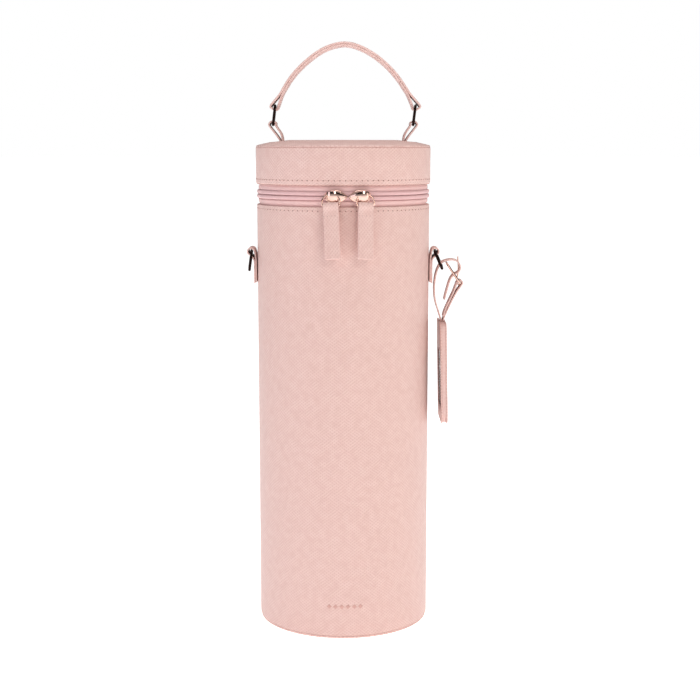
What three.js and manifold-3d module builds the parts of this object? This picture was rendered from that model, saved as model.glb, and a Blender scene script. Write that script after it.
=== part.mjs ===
// A tall round zip-top carry case for baby formula and bottles: a stiffened, insulated tube covered in
// pink cross-grain leatherette, a shallow lid on a soft hinge, a two-way zip, a top handle on metal rings,
// two side rings for a shoulder strap, and a luggage tag buckled through the right-hand ring.
// Millimetres, +Z up. The origin is the middle of the base; -Y is the front, +Y the hinge side.
import * as THREE from "three";
import { mergeVertices } from "three/addons/utils/BufferGeometryUtils.js";
import Module from "manifold-3d";

// ---------------------------------------------------------------- driving dimensions
const GAP = 0.3; // between pieces that touch
const SEGMENTS = 48; // round the case
const SKIN = 1.2; // leatherette, turned at its edges
const BODY_R = 50; // outside radius of the case
const LID_R = 50.5; // the lid's skin is turned over its edge, so it stands a little proud
const BODY_TOP = 246; // top edge of the body's skin
const LID_BOTTOM = 258; // lower edge of the lid's skin
const LID_SHOULDER = 278.3; // seam between the lid's side band and its top panel
const ZIP_Z = 252; // parting line of the zip
const ZIP_MEET_DEG = 3.2; // where the two sliders meet, from the front towards +X
const HINGE_HALF_DEG = 20; // half of the soft hinge's arc at the back
const STRAP_WIDTH = 15; // handle, lid loops and side tabs
const RING_WIRE = 0.8; // radius of the rectangular rings' wire
const RING_Y = 8.8; // half of a ring's width, centre of wire
const RING_DROP = 10.8; // between a ring's two bars, centre to centre

// Wall of the case, from the skin inwards.
const TAPE_OUT = 48.5;
const TAPE_IN = 48.0;
const BOARD_OUT = 47.7;
const BOARD_IN = 46.2;
const FOAM_OUT = 45.9;
const FOAM_IN = 42.9;
const LINING_OUT = 42.6;
const LINING_IN = 42.0;

// ---------------------------------------------------------------- materials
const finish = (color, roughness, metalness = 0, opacity = 1) =>
  new THREE.MeshStandardMaterial({ color, roughness, metalness, opacity, transparent: opacity < 1 });
const leatherette = finish(0xe5c3ba, 0.55);
const edgePaint = finish(0xd9aaa2, 0.5);
const zipCloth = finish(0xe2b3b0, 0.85);
const liningCloth = finish(0xd9d3d0, 0.6);
const stiffener = finish(0xb9b2a8, 0.9);
const foam = finish(0xf1efec, 0.95);
const roseGold = finish(0xd9a38c, 0.18, 1);
const clearFilm = finish(0xf4f4f4, 0.1, 0, 0.35);
const card = finish(0xf7f3ee, 0.8);

// ---------------------------------------------------------------- shape helpers
const wasm = await Module();
wasm.setup();
const radians = THREE.MathUtils.degToRad;

// A closed profile of [radius, height] pairs, listed anticlockwise, turned round the Z axis.
function turned(profile, segments = SEGMENTS) {
  const points = [...profile, profile[0]].map(([r, z]) => new THREE.Vector2(r, z));
  return new THREE.LatheGeometry(points, segments).rotateX(Math.PI / 2);
}

function tube(inner, outer, low, high) {
  return turned([[inner, low], [outer, low], [outer, high], [inner, high]]);
}

function disc(radius, low, high) {
  const points = [[0, low], [radius, low], [radius, high], [0, high]];
  return new THREE.LatheGeometry(points.map(([r, z]) => new THREE.Vector2(r, z)), SEGMENTS)
    .rotateX(Math.PI / 2);
}

// Part of a tube: middle and half are degrees from the front (-Y) towards +X.
function arcBand(inner, outer, low, high, middle, half, segments = 40) {
  const from = radians(middle - half - 90);
  const to = radians(middle + half - 90);
  const shape = new THREE.Shape();
  shape.absarc(0, 0, outer, from, to, false);
  shape.absarc(0, 0, inner, to, from, true);
  const depth = high - low;
  return new THREE.ExtrudeGeometry(shape, { depth, bevelEnabled: false, curveSegments: segments })
    .translate(0, 0, low);
}

// Moves a shape drawn in x and z, and extruded, so that it is centred on the XZ plane.
function standUp(geometry, width) {
  return geometry.rotateX(Math.PI / 2).translate(0, width / 2, 0);
}

// A strap bent in the XZ plane: smooth through the [x, z] points, width along Y.
function strap(points, thickness, width, steps = 40) {
  const curve = new THREE.SplineCurve(points.map(([x, z]) => new THREE.Vector2(x, z)));
  const left = [];
  const right = [];
  for (let i = 0; i <= steps; i++) {
    const p = curve.getPointAt(i / steps);
    const t = curve.getTangentAt(i / steps);
    const n = new THREE.Vector2(-t.y, t.x).multiplyScalar(thickness / 2);
    left.push(p.clone().add(n));
    right.unshift(p.clone().sub(n));
  }
  const shape = new THREE.Shape([...left, ...right]);
  return standUp(new THREE.ExtrudeGeometry(shape, { depth: width, bevelEnabled: false }), width);
}

// Points on an arc in the XZ plane, angles in degrees from +X towards +Z.
function arcPoints([x, z], radius, from, to, count) {
  return Array.from({ length: count }, (_, i) => {
    const a = radians(from + ((to - from) * i) / (count - 1));
    return [x + radius * Math.cos(a), z + radius * Math.sin(a)];
  });
}

// A closed loop of round wire through [y, z] points in the YZ plane, about the origin.
function wireLoop(outline, radius, sides = 8) {
  const position = [];
  const index = [];
  const n = outline.length;
  outline.forEach(([y, z], i) => {
    const [ya, za] = outline[(i + n - 1) % n];
    const [yb, zb] = outline[(i + 1) % n];
    const length = Math.hypot(yb - ya, zb - za);
    const out = [(zb - za) / length, -(yb - ya) / length];
    for (let k = 0; k < sides; k++) {
      const a = (2 * Math.PI * k) / sides;
      const along = radius * Math.cos(a);
      position.push(radius * Math.sin(a), y + along * out[0], z + along * out[1]);
      const next = (k + 1) % sides;
      const here = i * sides;
      const there = ((i + 1) % n) * sides;
      index.push(here + k, there + k, there + next, here + k, there + next, here + next);
    }
  });
  const geometry = new THREE.BufferGeometry();
  geometry.setAttribute("position", new THREE.Float32BufferAttribute(position, 3));
  geometry.setIndex(index);
  return geometry;
}

// Outline of a rectangle with rounded corners, anticlockwise, as [u, v] points.
function roundedOutline(uLow, uHigh, vLow, vHigh, corner, steps = 3) {
  const centres = [
    [uHigh - corner, vLow + corner, -90],
    [uHigh - corner, vHigh - corner, 0],
    [uLow + corner, vHigh - corner, 90],
    [uLow + corner, vLow + corner, 180],
  ];
  return centres.flatMap(([u, v, start]) => arcPoints([u, v], corner, start, start + 90, steps + 1));
}

function plate(outline, thickness, holes = []) {
  const shape = new THREE.Shape(outline.map(([u, v]) => new THREE.Vector2(u, v)));
  holes.forEach((h) => shape.holes.push(new THREE.Path(h.map(([u, v]) => new THREE.Vector2(u, v)))));
  return new THREE.ExtrudeGeometry(shape, { depth: thickness, bevelEnabled: false });
}

function solid(geometry) {
  const plain = geometry.index ? geometry.toNonIndexed() : geometry.clone();
  plain.deleteAttribute("normal");
  plain.deleteAttribute("uv");
  const merged = mergeVertices(plain, 1e-4);
  const vertProperties = merged.attributes.position.array;
  return new wasm.Manifold(
    new wasm.Mesh({ numProp: 3, vertProperties, triVerts: new Uint32Array(merged.index.array) }),
  );
}

function geometryOf(manifold) {
  const { vertProperties, triVerts } = manifold.getMesh();
  const geometry = new THREE.BufferGeometry();
  geometry.setAttribute("position", new THREE.BufferAttribute(vertProperties, 3));
  geometry.setIndex(new THREE.BufferAttribute(triVerts, 1));
  return geometry.toNonIndexed();
}

const join = (...shapes) => geometryOf(shapes.map(solid).reduce((a, b) => a.add(b)));
const cut = (shape, ...tools) => geometryOf(tools.map(solid).reduce((a, b) => a.subtract(b), solid(shape)));
const block = (xLow, xHigh, yLow, yHigh, zLow, zHigh) =>
  new THREE.BoxGeometry(xHigh - xLow, yHigh - yLow, zHigh - zLow)
    .translate((xLow + xHigh) / 2, (yLow + yHigh) / 2, (zLow + zHigh) / 2);

const carrier = new THREE.Group();

function add(name, geometry, material, parent = carrier) {
  const mesh = new THREE.Mesh(geometry, material);
  mesh.name = name;
  parent.add(mesh);
  return mesh;
}

// ---------------------------------------------------------------- base and body wall
const BASE_SKIN_TOP = 1.4;
const BASE_BOARD_TOP = 3.7;
const BASE_FOAM_TOP = 7;
const FLOOR_LINING = 0.6;
const WALL_TOP = BODY_TOP - 1.4; // the board, foam and lining stop under the rim binding
const BASE_EDGE_INSET = 0.4; // the base disc sits just inside the side skin
const floorLiningTop = BASE_FOAM_TOP + GAP + FLOOR_LINING;

add("base_skin", disc(BODY_R - BASE_EDGE_INSET, 0, BASE_SKIN_TOP), leatherette);
add("base_board", disc(BODY_R - SKIN - GAP, BASE_SKIN_TOP + GAP, BASE_BOARD_TOP), stiffener);
add("base_foam", disc(FOAM_IN - GAP, BASE_BOARD_TOP + GAP, BASE_FOAM_TOP), foam);
add("base_lining", disc(LINING_OUT, BASE_FOAM_TOP + GAP, floorLiningTop), liningCloth);
add("body_skin", tube(BODY_R - SKIN, BODY_R, BASE_SKIN_TOP + GAP, BODY_TOP), leatherette);
add("body_board", tube(BOARD_IN, BOARD_OUT, BASE_BOARD_TOP + GAP, WALL_TOP), stiffener);
add("body_foam", tube(FOAM_IN, FOAM_OUT, BASE_BOARD_TOP + GAP, WALL_TOP), foam);
add("body_lining", tube(LINING_IN, LINING_OUT, floorLiningTop + GAP, WALL_TOP), liningCloth);
add("body_rim_binding", tube(LINING_IN, BOARD_OUT, WALL_TOP + GAP, BODY_TOP - 0.1), zipCloth);

// ---------------------------------------------------------------- zip tape, coil and soft hinge
const TAPE_HALF = 15.6; // width of each tape, from the parting line into its seam
const PARTING = 0.4; // half the gap between the two rows of teeth
const COIL_WIDTH = 2.2;
const COIL_OUT = 50;
const COIL_IN = 48.8;
const TAPE_HALF_DEG = 159;
const COIL_HALF_DEG = 156;

const lowEdge = ZIP_Z - PARTING;
const highEdge = ZIP_Z + PARTING;
add("zip_tape_lower", arcBand(TAPE_IN, TAPE_OUT, ZIP_Z - TAPE_HALF, lowEdge, 0, TAPE_HALF_DEG), zipCloth);
add("zip_tape_upper", arcBand(TAPE_IN, TAPE_OUT, highEdge, ZIP_Z + TAPE_HALF, 0, TAPE_HALF_DEG), zipCloth);
add("zip_teeth_lower", arcBand(COIL_IN, COIL_OUT, lowEdge - COIL_WIDTH, lowEdge, 0, COIL_HALF_DEG), zipCloth);
add("zip_teeth_upper", arcBand(COIL_IN, COIL_OUT, highEdge, highEdge + COIL_WIDTH, 0, COIL_HALF_DEG), zipCloth);

const hingeLow = BODY_TOP + GAP;
const hingeHigh = LID_BOTTOM - GAP;
add("hinge_panel", arcBand(48.9, 50.1, hingeLow, hingeHigh, 180, HINGE_HALF_DEG, 8), leatherette);
add("hinge_lining", arcBand(47, BOARD_OUT, hingeLow, hingeHigh, 180, HINGE_HALF_DEG + 2, 8), liningCloth);

// ---------------------------------------------------------------- lid
const LID_WALL_LOW = LID_BOTTOM + 1.2;
const LID_BOARD_LOW = 274.8;
const LID_BOARD_HIGH = 276.9;
const LID_FOAM_LOW = 271.5;
const LID_LINING = 0.6;
const LOOP_X = 35.3; // where the handle's loops come through the top panel

// The top panel is padded: it rises from the shoulder seam to a nearly flat middle. [radius, height]
const CROWN = [[49.6, 279.5], [46, 280.4], [42, 281.3], [33, 282.5], [0, 282.1]];
const crownUnderside = CROWN.slice(1).map(([r, z]) => [r, z - SKIN]).reverse();
const seam = LID_SHOULDER + GAP;
const slots = [-LOOP_X, LOOP_X].map((x) => block(x - 1.9, x + 1.9, -8.2, 8.2, LID_BOARD_HIGH, 290));

const crownEdge = [[48.6, seam], [LID_R - 0.2, seam], [LID_R - 0.2, 279.1]];
const crownProfile = [...crownUnderside, ...crownEdge, ...CROWN];
const crownPoints = crownProfile.map(([r, z]) => new THREE.Vector2(r, z));
const crown = new THREE.LatheGeometry(crownPoints, SEGMENTS).rotateX(Math.PI / 2);
const padTop = CROWN.slice(1).map(([r, z]) => [r, z - SKIN - GAP]);
const padProfile = [[0, LID_BOARD_HIGH + GAP], [46, LID_BOARD_HIGH + GAP], ...padTop];
const padPoints = padProfile.map(([r, z]) => new THREE.Vector2(r, z));
const pad = new THREE.LatheGeometry(padPoints, SEGMENTS).rotateX(Math.PI / 2);

add("lid_top_panel", cut(crown, ...slots), leatherette);
add("lid_top_pad", cut(pad, ...slots), foam);
add("lid_side_band", tube(LID_R - SKIN - 0.2, LID_R, LID_BOTTOM, LID_SHOULDER), leatherette);
add("lid_top_board", disc(LID_R - SKIN - 0.5, LID_BOARD_LOW, LID_BOARD_HIGH), stiffener);
add("lid_side_board", tube(BOARD_IN, BOARD_OUT, LID_WALL_LOW, LID_BOARD_LOW - GAP), stiffener);
add("lid_top_foam", disc(FOAM_OUT, LID_FOAM_LOW, LID_BOARD_LOW - GAP), foam);
add("lid_side_foam", tube(FOAM_IN, FOAM_OUT, LID_WALL_LOW, LID_FOAM_LOW - GAP), foam);
const liningTop = LID_FOAM_LOW - GAP;
const lidLining = [
  [0, liningTop - LID_LINING], [LINING_IN, liningTop - LID_LINING], [LINING_IN, LID_WALL_LOW],
  [LINING_OUT, LID_WALL_LOW], [LINING_OUT, liningTop], [0, liningTop],
].map(([r, z]) => new THREE.Vector2(r, z));
add("lid_lining", new THREE.LatheGeometry(lidLining, SEGMENTS).rotateX(Math.PI / 2), liningCloth);
add("lid_rim_binding", tube(LINING_IN, BOARD_OUT, LID_BOTTOM, LID_WALL_LOW - GAP), zipCloth);

// ---------------------------------------------------------------- rings
const ringOutline = roundedOutline(-RING_Y, RING_Y, -RING_DROP, 0, 1.6);

// A rectangular ring hung by its upper bar at [x, z], leaning so that its lower bar moves towards +X.
function ring(name, [x, z], leanDeg) {
  const mesh = add(name, wireLoop(ringOutline, RING_WIRE), roseGold);
  mesh.position.set(x, 0, z);
  mesh.rotation.y = -radians(leanDeg);
}

const HANDLE_BAR = [40.4, 291.2]; // lower bars of the handle's rings: x to either side, and height
const HANDLE_LEAN = 6.8; // both rings lean this far towards +X
const leanX = RING_DROP * Math.sin(radians(HANDLE_LEAN));
const leanZ = RING_DROP * Math.cos(radians(HANDLE_LEAN));
const upperBars = [-1, 1].map((side) => [side * HANDLE_BAR[0] + leanX, HANDLE_BAR[1] + leanZ]);
ring("handle_ring_left", upperBars[0], -HANDLE_LEAN);
ring("handle_ring_right", upperBars[1], -HANDLE_LEAN);

const SIDE_BAR = [53.5, 218.5]; // upper bars of the two side rings
ring("side_ring_left", [-SIDE_BAR[0], SIDE_BAR[1]], -8);
const RIGHT_LEAN = 24;
ring("side_ring_right", SIDE_BAR, RIGHT_LEAN);

// ---------------------------------------------------------------- lid loops and side tabs
const LOOP_LEATHER = 1.2;
const LOOP_R = 1.9; // centre line of the leather round a bar
const LEG = (LOOP_LEATHER + GAP) / 2; // each leg's centre line from the middle of the pair

function lidLoop(name, side) {
  const bar = HANDLE_BAR;
  const foot = LOOP_X;
  const root = LID_BOARD_HIGH + 2 * GAP;
  const path = [
    [foot + LEG, root],
    [foot + LEG, 281.5],
    [foot + 2.3, 284.6],
    ...arcPoints(bar, LOOP_R + 0.2, -20, 200, 6),
    [foot + 0.2, 285.8],
    [foot - LEG, 281.5],
    [foot - LEG, root],
  ].map(([x, z]) => [side * x, z]);
  add(name, strap(path, LOOP_LEATHER, STRAP_WIDTH, 36), leatherette);
}
lidLoop("lid_loop_left", -1);
lidLoop("lid_loop_right", 1);

const TAB_LEATHER = 0.9;

function sideTab(name, side) {
  const innerLeg = BODY_R + GAP + TAB_LEATHER / 2;
  const outerLeg = innerLeg + TAB_LEATHER + GAP;
  const foot = 200.4;
  const path = [
    [innerLeg, foot],
    [innerLeg, 207],
    [innerLeg, 214],
    ...arcPoints(SIDE_BAR, LOOP_R, 165, -90, 7),
    [outerLeg + 0.1, 213.6],
    [outerLeg, 207],
    [outerLeg, foot],
  ].map(([x, z]) => [side * x, z]);
  add(name, strap(path, TAB_LEATHER, STRAP_WIDTH, 44), leatherette);
}
sideTab("side_tab_left", -1);
sideTab("side_tab_right", 1);

// ---------------------------------------------------------------- handle
const PLY = 1.5;
const PLY_OFFSET = (PLY + GAP) / 2;
const ARCH = [
  [-36.4, 306.6], [-30.6, 316.2], [-24.6, 323.2], [-16.6, 330], [-8.5, 334.6],
  [0.8, 336.6], [8.6, 335], [16.8, 330.9], [24.8, 324.7], [31.6, 317.2], [38.6, 306.9],
];
const arch = new THREE.SplineCurve(ARCH.map(([x, z]) => new THREE.Vector2(x, z)));

// Points beside the arch's centre line: offset is positive on the outer side.
function besideArch(offset, from, to, count) {
  return Array.from({ length: count }, (_, i) => {
    const s = from + ((to - from) * i) / (count - 1);
    const p = arch.getPointAt(s);
    const t = arch.getTangentAt(s);
    return [p.x - t.y * offset, p.y + t.x * offset];
  });
}
const FOLD_END = 0.1; // share of the arch that each folded end covers on the underside
const handlePath = [
  ...besideArch(-PLY_OFFSET, FOLD_END, 0.02, 3),
  ...arcPoints(upperBars[0], LOOP_R + 0.25, 5, -185, 5),
  ...besideArch(PLY_OFFSET, 0.02, 0.98, 13),
  ...arcPoints(upperBars[1], LOOP_R + 0.25, 5, -185, 5),
  ...besideArch(-PLY_OFFSET, 0.98, 1 - FOLD_END, 3),
];
add("handle_strap", strap(handlePath, PLY, STRAP_WIDTH, 100), leatherette);
const liningPath = besideArch(-PLY_OFFSET, FOLD_END + 0.008, 1 - FOLD_END - 0.008, 11);
add("handle_lining", strap(liningPath, PLY, STRAP_WIDTH, 36), edgePaint);

// ---------------------------------------------------------------- sliders and pulls
const SLIDER_OFFSET_DEG = 7.4; // each slider's middle from the meeting point
const PULL_OFFSET_DEG = 10.1; // each pull's middle from the meeting point
const PLATE_IN = 50.35; // the slider's outer plate, as distances from the case's axis
const PLATE_OUT = 51.5;
const PULL_BAR_Z = 246.9;
const LUG = [52.7, 253]; // where a pull ring turns, as distance from the axis and height
const RING_LEAN_DEG = 14;
const TAB_LEAN_DEG = 9;

// Drawn at the front with its head towards the meeting point, then turned into place round the case.
// Only its lower flange hooks over the teeth, so that the lid can lift away wherever the slider stands.
function slider(name, side) {
  const outline = [
    [-6, -2.6], [-5, -3.6], [1, -3.7], [4.6, -3.3], [6, -1.5],
    [6, 1.5], [4.6, 3.3], [1, 3.7], [-5, 3.6], [-6, 2.6],
  ].map(([x, z]) => [side * x, z]);
  if (side < 0) outline.reverse();
  const flat = (from, thickness) =>
    plate(outline, thickness).rotateX(Math.PI / 2).translate(0, -from, ZIP_Z);
  const [webLow, webHigh] = side > 0 ? [1.5, 5] : [-5, -1.5];
  const [rimLow, rimHigh] = side > 0 ? [-5, 3.5] : [-3.5, 5];
  const outer = -PLATE_IN - 0.1;
  const lug = cut(
    block(-1.6, 1.6, -54.3, -PLATE_OUT + 0.2, ZIP_Z - 1.6, ZIP_Z + 3.2),
    block(-2, 2, -LUG[0] - 1, -LUG[0] + 1, LUG[1] - 1, LUG[1] + 1),
  ).rotateZ(-side * radians(PULL_OFFSET_DEG - SLIDER_OFFSET_DEG));
  const shape = join(
    flat(PLATE_IN, PLATE_OUT - PLATE_IN),
    flat(46.4, 1),
    block(webLow, webHigh, outer, -47.2, ZIP_Z - 0.2, ZIP_Z + 0.2),
    block(rimLow, rimHigh, outer, -49, ZIP_Z - 3.6, ZIP_Z - 2.95),
    lug,
  );
  return add(name, shape, roseGold);
}

// A D-shaped wire: a straight bar in the leather's fold, and a bow that hangs in the slider's lug.
function pullRing(name) {
  const drop = (LUG[1] - PULL_BAR_Z) / Math.cos(radians(RING_LEAN_DEG));
  const bar = 5.2; // half of the bar
  const outline = [
    [-bar + 0.8, -drop], [0, -drop], [bar - 0.8, -drop], [bar - 0.15, -drop + 0.5], [bar, -drop + 1.4],
    [4.7, -2.6], [3.9, -1.2], [2.7, -0.25], [1.4, 0], [0, 0], [-1.4, 0],
    [-2.7, -0.25], [-3.9, -1.2], [-4.7, -2.6], [-bar, -drop + 1.4], [-bar + 0.15, -drop + 0.5],
  ];
  const geometry = wireLoop(outline, 0.65).rotateZ(-Math.PI / 2).rotateX(-radians(RING_LEAN_DEG));
  return add(name, geometry.translate(0, -LUG[0], LUG[1]), roseGold);
}

// A leather tab folded over the ring's bar. swing turns it in its own plane, towards +X at its foot.
function pullTab(name, swingDeg) {
  const leather = 1;
  const leg = 0.62;
  const foldR = 1.55;
  const path = [
    [-leg, -29], [-leg, -20], [-leg, -9], [-leg - 0.1, -3.2],
    ...arcPoints([0, 0], foldR, 195, -15, 5),
    [leg + 0.1, -3.2], [leg, -9], [leg, -20], [leg, -29],
  ];
  const barR = LUG[0] + (LUG[1] - PULL_BAR_Z) * Math.tan(radians(RING_LEAN_DEG));
  const geometry = strap(path, leather, 8.4, 40)
    .rotateZ(Math.PI / 2)
    .rotateY(-radians(swingDeg))
    .rotateX(-radians(TAB_LEAN_DEG));
  return add(name, geometry.translate(0, -barR, PULL_BAR_Z), leatherette);
}

function sliderSet(word, side, swingDeg) {
  const body = slider("zip_slider_" + word, side);
  body.rotation.z = radians(ZIP_MEET_DEG - side * SLIDER_OFFSET_DEG);
  for (const piece of [pullRing("pull_ring_" + word), pullTab("pull_tab_" + word, swingDeg)])
    piece.rotation.z = radians(ZIP_MEET_DEG - side * PULL_OFFSET_DEG);
}
sliderSet("left", 1, 3.4);
sliderSet("right", -1, -2.3);

// ---------------------------------------------------------------- luggage tag
const TAG_STRAP = 0.7;
const TAG_STRAP_WIDTH = 9;
const TAG_TOP = 177.6;
const BUCKLE_FAR = [60.5, 211.4]; // the buckle's two cross bars
const BUCKLE_HEEL = [68.1, 199.9];
const BUCKLE_WIRE = 0.7;
const TAG_X = 58;
const LEG_X = 0.5; // each strap's end, from the middle of the tag
const TAG_GRIP = 8; // how far the straps' ends reach into the tag

// Up from the tag, over the ring's lower bar, over the buckle's far bar, back in through the buckle.
const strapPath = [
  [TAG_X - LEG_X, TAG_TOP - TAG_GRIP], [TAG_X - LEG_X, TAG_TOP - 0.6], [56.2, 181.8], [53.9, 189.5],
  [53.3, 196.5], [53.8, 203], [55.2, 208.4], [57.4, 211.7], [60.4, 213.1], [64, 213.5], [67, 212.2],
  [68.4, 209], [67.2, 206.2], [64.4, 204.6], [62.4, 201.6], [60.7, 196], [59.2, 190.2],
];
const buckleLength = Math.hypot(BUCKLE_HEEL[0] - BUCKLE_FAR[0], BUCKLE_HEEL[1] - BUCKLE_FAR[1]);
const buckleLean = Math.atan2(BUCKLE_HEEL[0] - BUCKLE_FAR[0], BUCKLE_FAR[1] - BUCKLE_HEEL[1]);
const PRONG_LEAN = radians(4); // the prong stands up through the strap
const prongSlot = block(-1, 1, -1.3, 1.3, 0, 20)
  .rotateY(-PRONG_LEAN)
  .translate(BUCKLE_HEEL[0], 0, BUCKLE_HEEL[1]);
add("tag_strap", cut(strap(strapPath, TAG_STRAP, TAG_STRAP_WIDTH, 72), prongSlot), leatherette);

const heelLoop = [
  [TAG_X + LEG_X, TAG_TOP - TAG_GRIP], [TAG_X + LEG_X, TAG_TOP - 0.4], [61, 184], [65.7, 193.6],
  ...arcPoints(BUCKLE_HEEL, 1.55, -30, 150, 6), [64.5, 194.6], [61.9, 188.9], [59.9, 184.4],
  [58.6, 180.4],
];
const prongGap = block(64, 72, -1.3, 1.3, 197.6, 204);
const heelStrap = cut(strap(heelLoop, TAG_STRAP, TAG_STRAP_WIDTH, 56), prongGap);
add("tag_buckle_strap", heelStrap, leatherette);

const buckleOutline = roundedOutline(-6.4, 6.4, -buckleLength, 0, 1.4);
const buckle = add("tag_buckle", wireLoop(buckleOutline, BUCKLE_WIRE), roseGold);
buckle.position.set(BUCKLE_FAR[0], 0, BUCKLE_FAR[1]);
buckle.rotation.y = -buckleLean;

// The prong hooks round the heel bar.
const prongPath = [...arcPoints([0, 0], 1.45, 40, -190, 8), [-1, 3], [-0.3, 6], [0, 10], [0, 15.2]];
const prong = add("tag_buckle_prong", strap(prongPath, 0.9, 1.5, 34), roseGold);
prong.position.set(BUCKLE_HEEL[0], 0, BUCKLE_HEEL[1]);
prong.rotation.y = -PRONG_LEAN;

// The tag itself, drawn with its face in its own YZ plane, its top edge at height 0 and the window towards -X.
const TAG_WIDTH = 34;
const TAG_HEIGHT = 59.4;
const tag = new THREE.Group();
carrier.add(tag);
tag.position.set(TAG_X, 0, TAG_TOP);
tag.rotation.y = -radians(1.2);
const half = TAG_WIDTH / 2;
const tagOutline = roundedOutline(-half, half, -TAG_HEIGHT, 0, 4, 4);
const tagPlate = (outline, from, thickness, holes) =>
  plate(outline, thickness, holes).rotateX(Math.PI / 2).rotateZ(Math.PI / 2).translate(from, 0, 0);
const windowHole = roundedOutline(-11.5, 11.5, -51, -17, 2).reverse();
add("tag_front", tagPlate(tagOutline, -1.9, 0.8, [windowHole]), leatherette, tag);
add("tag_back", tagPlate(tagOutline, 1.1, 0.8), leatherette, tag);
add("tag_window", tagPlate(roundedOutline(-14, 14, -54, -14.5, 1.5), -0.8, 0.3), clearFilm, tag);
add("tag_card", tagPlate(roundedOutline(-13.4, 13.4, -53.4, -15, 1.5), -0.2, 0.3), card, tag);
add("tag_stiffener", tagPlate(roundedOutline(-14, 14, -54, -14.5, 1.5), 0.4, 0.4), stiffener, tag);
const WELT = 2;
const weltOutline = [
  [-half, -2], [-half, -TAG_HEIGHT + 4], [-half + 4, -TAG_HEIGHT], [half - 4, -TAG_HEIGHT], [half, -TAG_HEIGHT + 4],
  [half - WELT, -TAG_HEIGHT + 4], [half - 5, -TAG_HEIGHT + WELT], [-half + 5, -TAG_HEIGHT + WELT],
  [-half + WELT, -TAG_HEIGHT + 5], [-half + WELT, -2], [-half + 4, -WELT], [-5.5, -WELT], [-5.5, 0], [-half + 3, 0],
];
add("tag_welt", tagPlate(weltOutline, -0.8, 1.6), edgePaint, tag);

export default carrier;
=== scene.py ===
import math

import bmesh
import bpy
from mathutils import Matrix, Vector


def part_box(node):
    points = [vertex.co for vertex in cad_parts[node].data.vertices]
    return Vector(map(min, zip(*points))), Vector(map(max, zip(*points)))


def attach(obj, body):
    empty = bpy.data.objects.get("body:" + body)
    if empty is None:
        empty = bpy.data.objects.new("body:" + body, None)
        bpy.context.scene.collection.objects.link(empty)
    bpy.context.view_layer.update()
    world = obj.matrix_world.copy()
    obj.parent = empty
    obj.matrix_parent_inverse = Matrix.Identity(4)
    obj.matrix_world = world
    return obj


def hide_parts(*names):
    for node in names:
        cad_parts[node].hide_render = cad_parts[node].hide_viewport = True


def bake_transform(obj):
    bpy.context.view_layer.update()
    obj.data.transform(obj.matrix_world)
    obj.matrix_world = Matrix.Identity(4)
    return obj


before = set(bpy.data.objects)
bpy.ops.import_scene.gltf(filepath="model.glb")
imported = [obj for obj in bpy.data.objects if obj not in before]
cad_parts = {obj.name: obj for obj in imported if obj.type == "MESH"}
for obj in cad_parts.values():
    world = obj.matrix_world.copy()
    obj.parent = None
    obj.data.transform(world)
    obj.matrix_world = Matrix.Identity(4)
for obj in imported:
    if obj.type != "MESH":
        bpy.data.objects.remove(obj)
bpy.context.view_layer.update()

# ------------------------------------------------------------------ studio
# A product-studio corner: a pale floor, a white surround and large soft lights.
# A dark band above the horizon gives the polished metal something black to reflect.
FLOOR_HALF = 30.0
CAMERA_AT = (0.00396, -0.8029, 0.2796)
CAMERA_PITCH = 8.49
CAMERA_LENS = 70.57
SENSOR = 36.0
WORLD_STRENGTH = 0.55
FLOOR_GLOW = 0.75  # lifts the paper to plain white without more light on the case


def srgb(code):
    """The linear colour, with alpha, of an sRGB hex value."""
    parts = [int(code[i:i + 2], 16) / 255 for i in (0, 2, 4)]
    linear = [c / 12.92 if c <= 0.04045 else ((c + 0.055) / 1.055) ** 2.4 for c in parts]
    return (*linear, 1.0)


def add(tree, kind, inputs=None, **settings):
    """Adds a node to a tree; inputs are sockets to link from, or plain values."""
    made = tree.nodes.new(kind)
    for key, value in settings.items():
        setattr(made, key, value)
    for key, value in (inputs or {}).items():
        if isinstance(value, bpy.types.NodeSocket):
            tree.links.new(value, made.inputs[key])
        else:
            made.inputs[key].default_value = value
    return made


def ramp(tree, factor, stops):
    """A colour ramp node's colour output, from (place, hex colour) stops."""
    made = add(tree, "ShaderNodeValToRGB", {0: factor})
    for element, (place, code) in zip(made.color_ramp.elements, (stops[0], stops[-1])):
        element.position, element.color = place, srgb(code)
    for place, code in stops[1:-1]:
        made.color_ramp.elements.new(place).color = srgb(code)
    return made.outputs["Color"]


camera = bpy.data.objects.new("camera", bpy.data.cameras.new("camera"))
bpy.context.scene.collection.objects.link(camera)
camera.location = CAMERA_AT
camera.rotation_euler = (math.radians(90 - CAMERA_PITCH), 0, 0)
camera.data.lens = CAMERA_LENS
camera.data.sensor_width = SENSOR
camera.data.clip_start = 0.01
bpy.context.scene.camera = camera
bpy.context.scene.view_settings.view_transform = "Standard"

world = bpy.data.worlds.new("studio")
bpy.context.scene.world = world
world.use_nodes = True
tree = world.node_tree
tree.nodes.clear()
direction = add(tree, "ShaderNodeTexCoord").outputs["Generated"]
height = add(tree, "ShaderNodeSeparateXYZ", {0: direction}).outputs["Z"]
SURROUND = [(0.0, "e8e8e8"), (0.16, "ececec"), (0.26, "1c1a1a"), (0.44, "282626"), (0.6, "dadada"),
            (1.0, "ffffff")]
lit = add(tree, "ShaderNodeBackground", {"Color": ramp(tree, height, SURROUND), "Strength": WORLD_STRENGTH})
seen = add(tree, "ShaderNodeBackground", {"Color": srgb("ffffff"), "Strength": 1.0})
rays = add(tree, "ShaderNodeLightPath").outputs["Is Camera Ray"]
both = add(tree, "ShaderNodeMixShader", {0: rays, 1: lit.outputs[0], 2: seen.outputs[0]})
add(tree, "ShaderNodeOutputWorld", {"Surface": both.outputs[0]})


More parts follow.
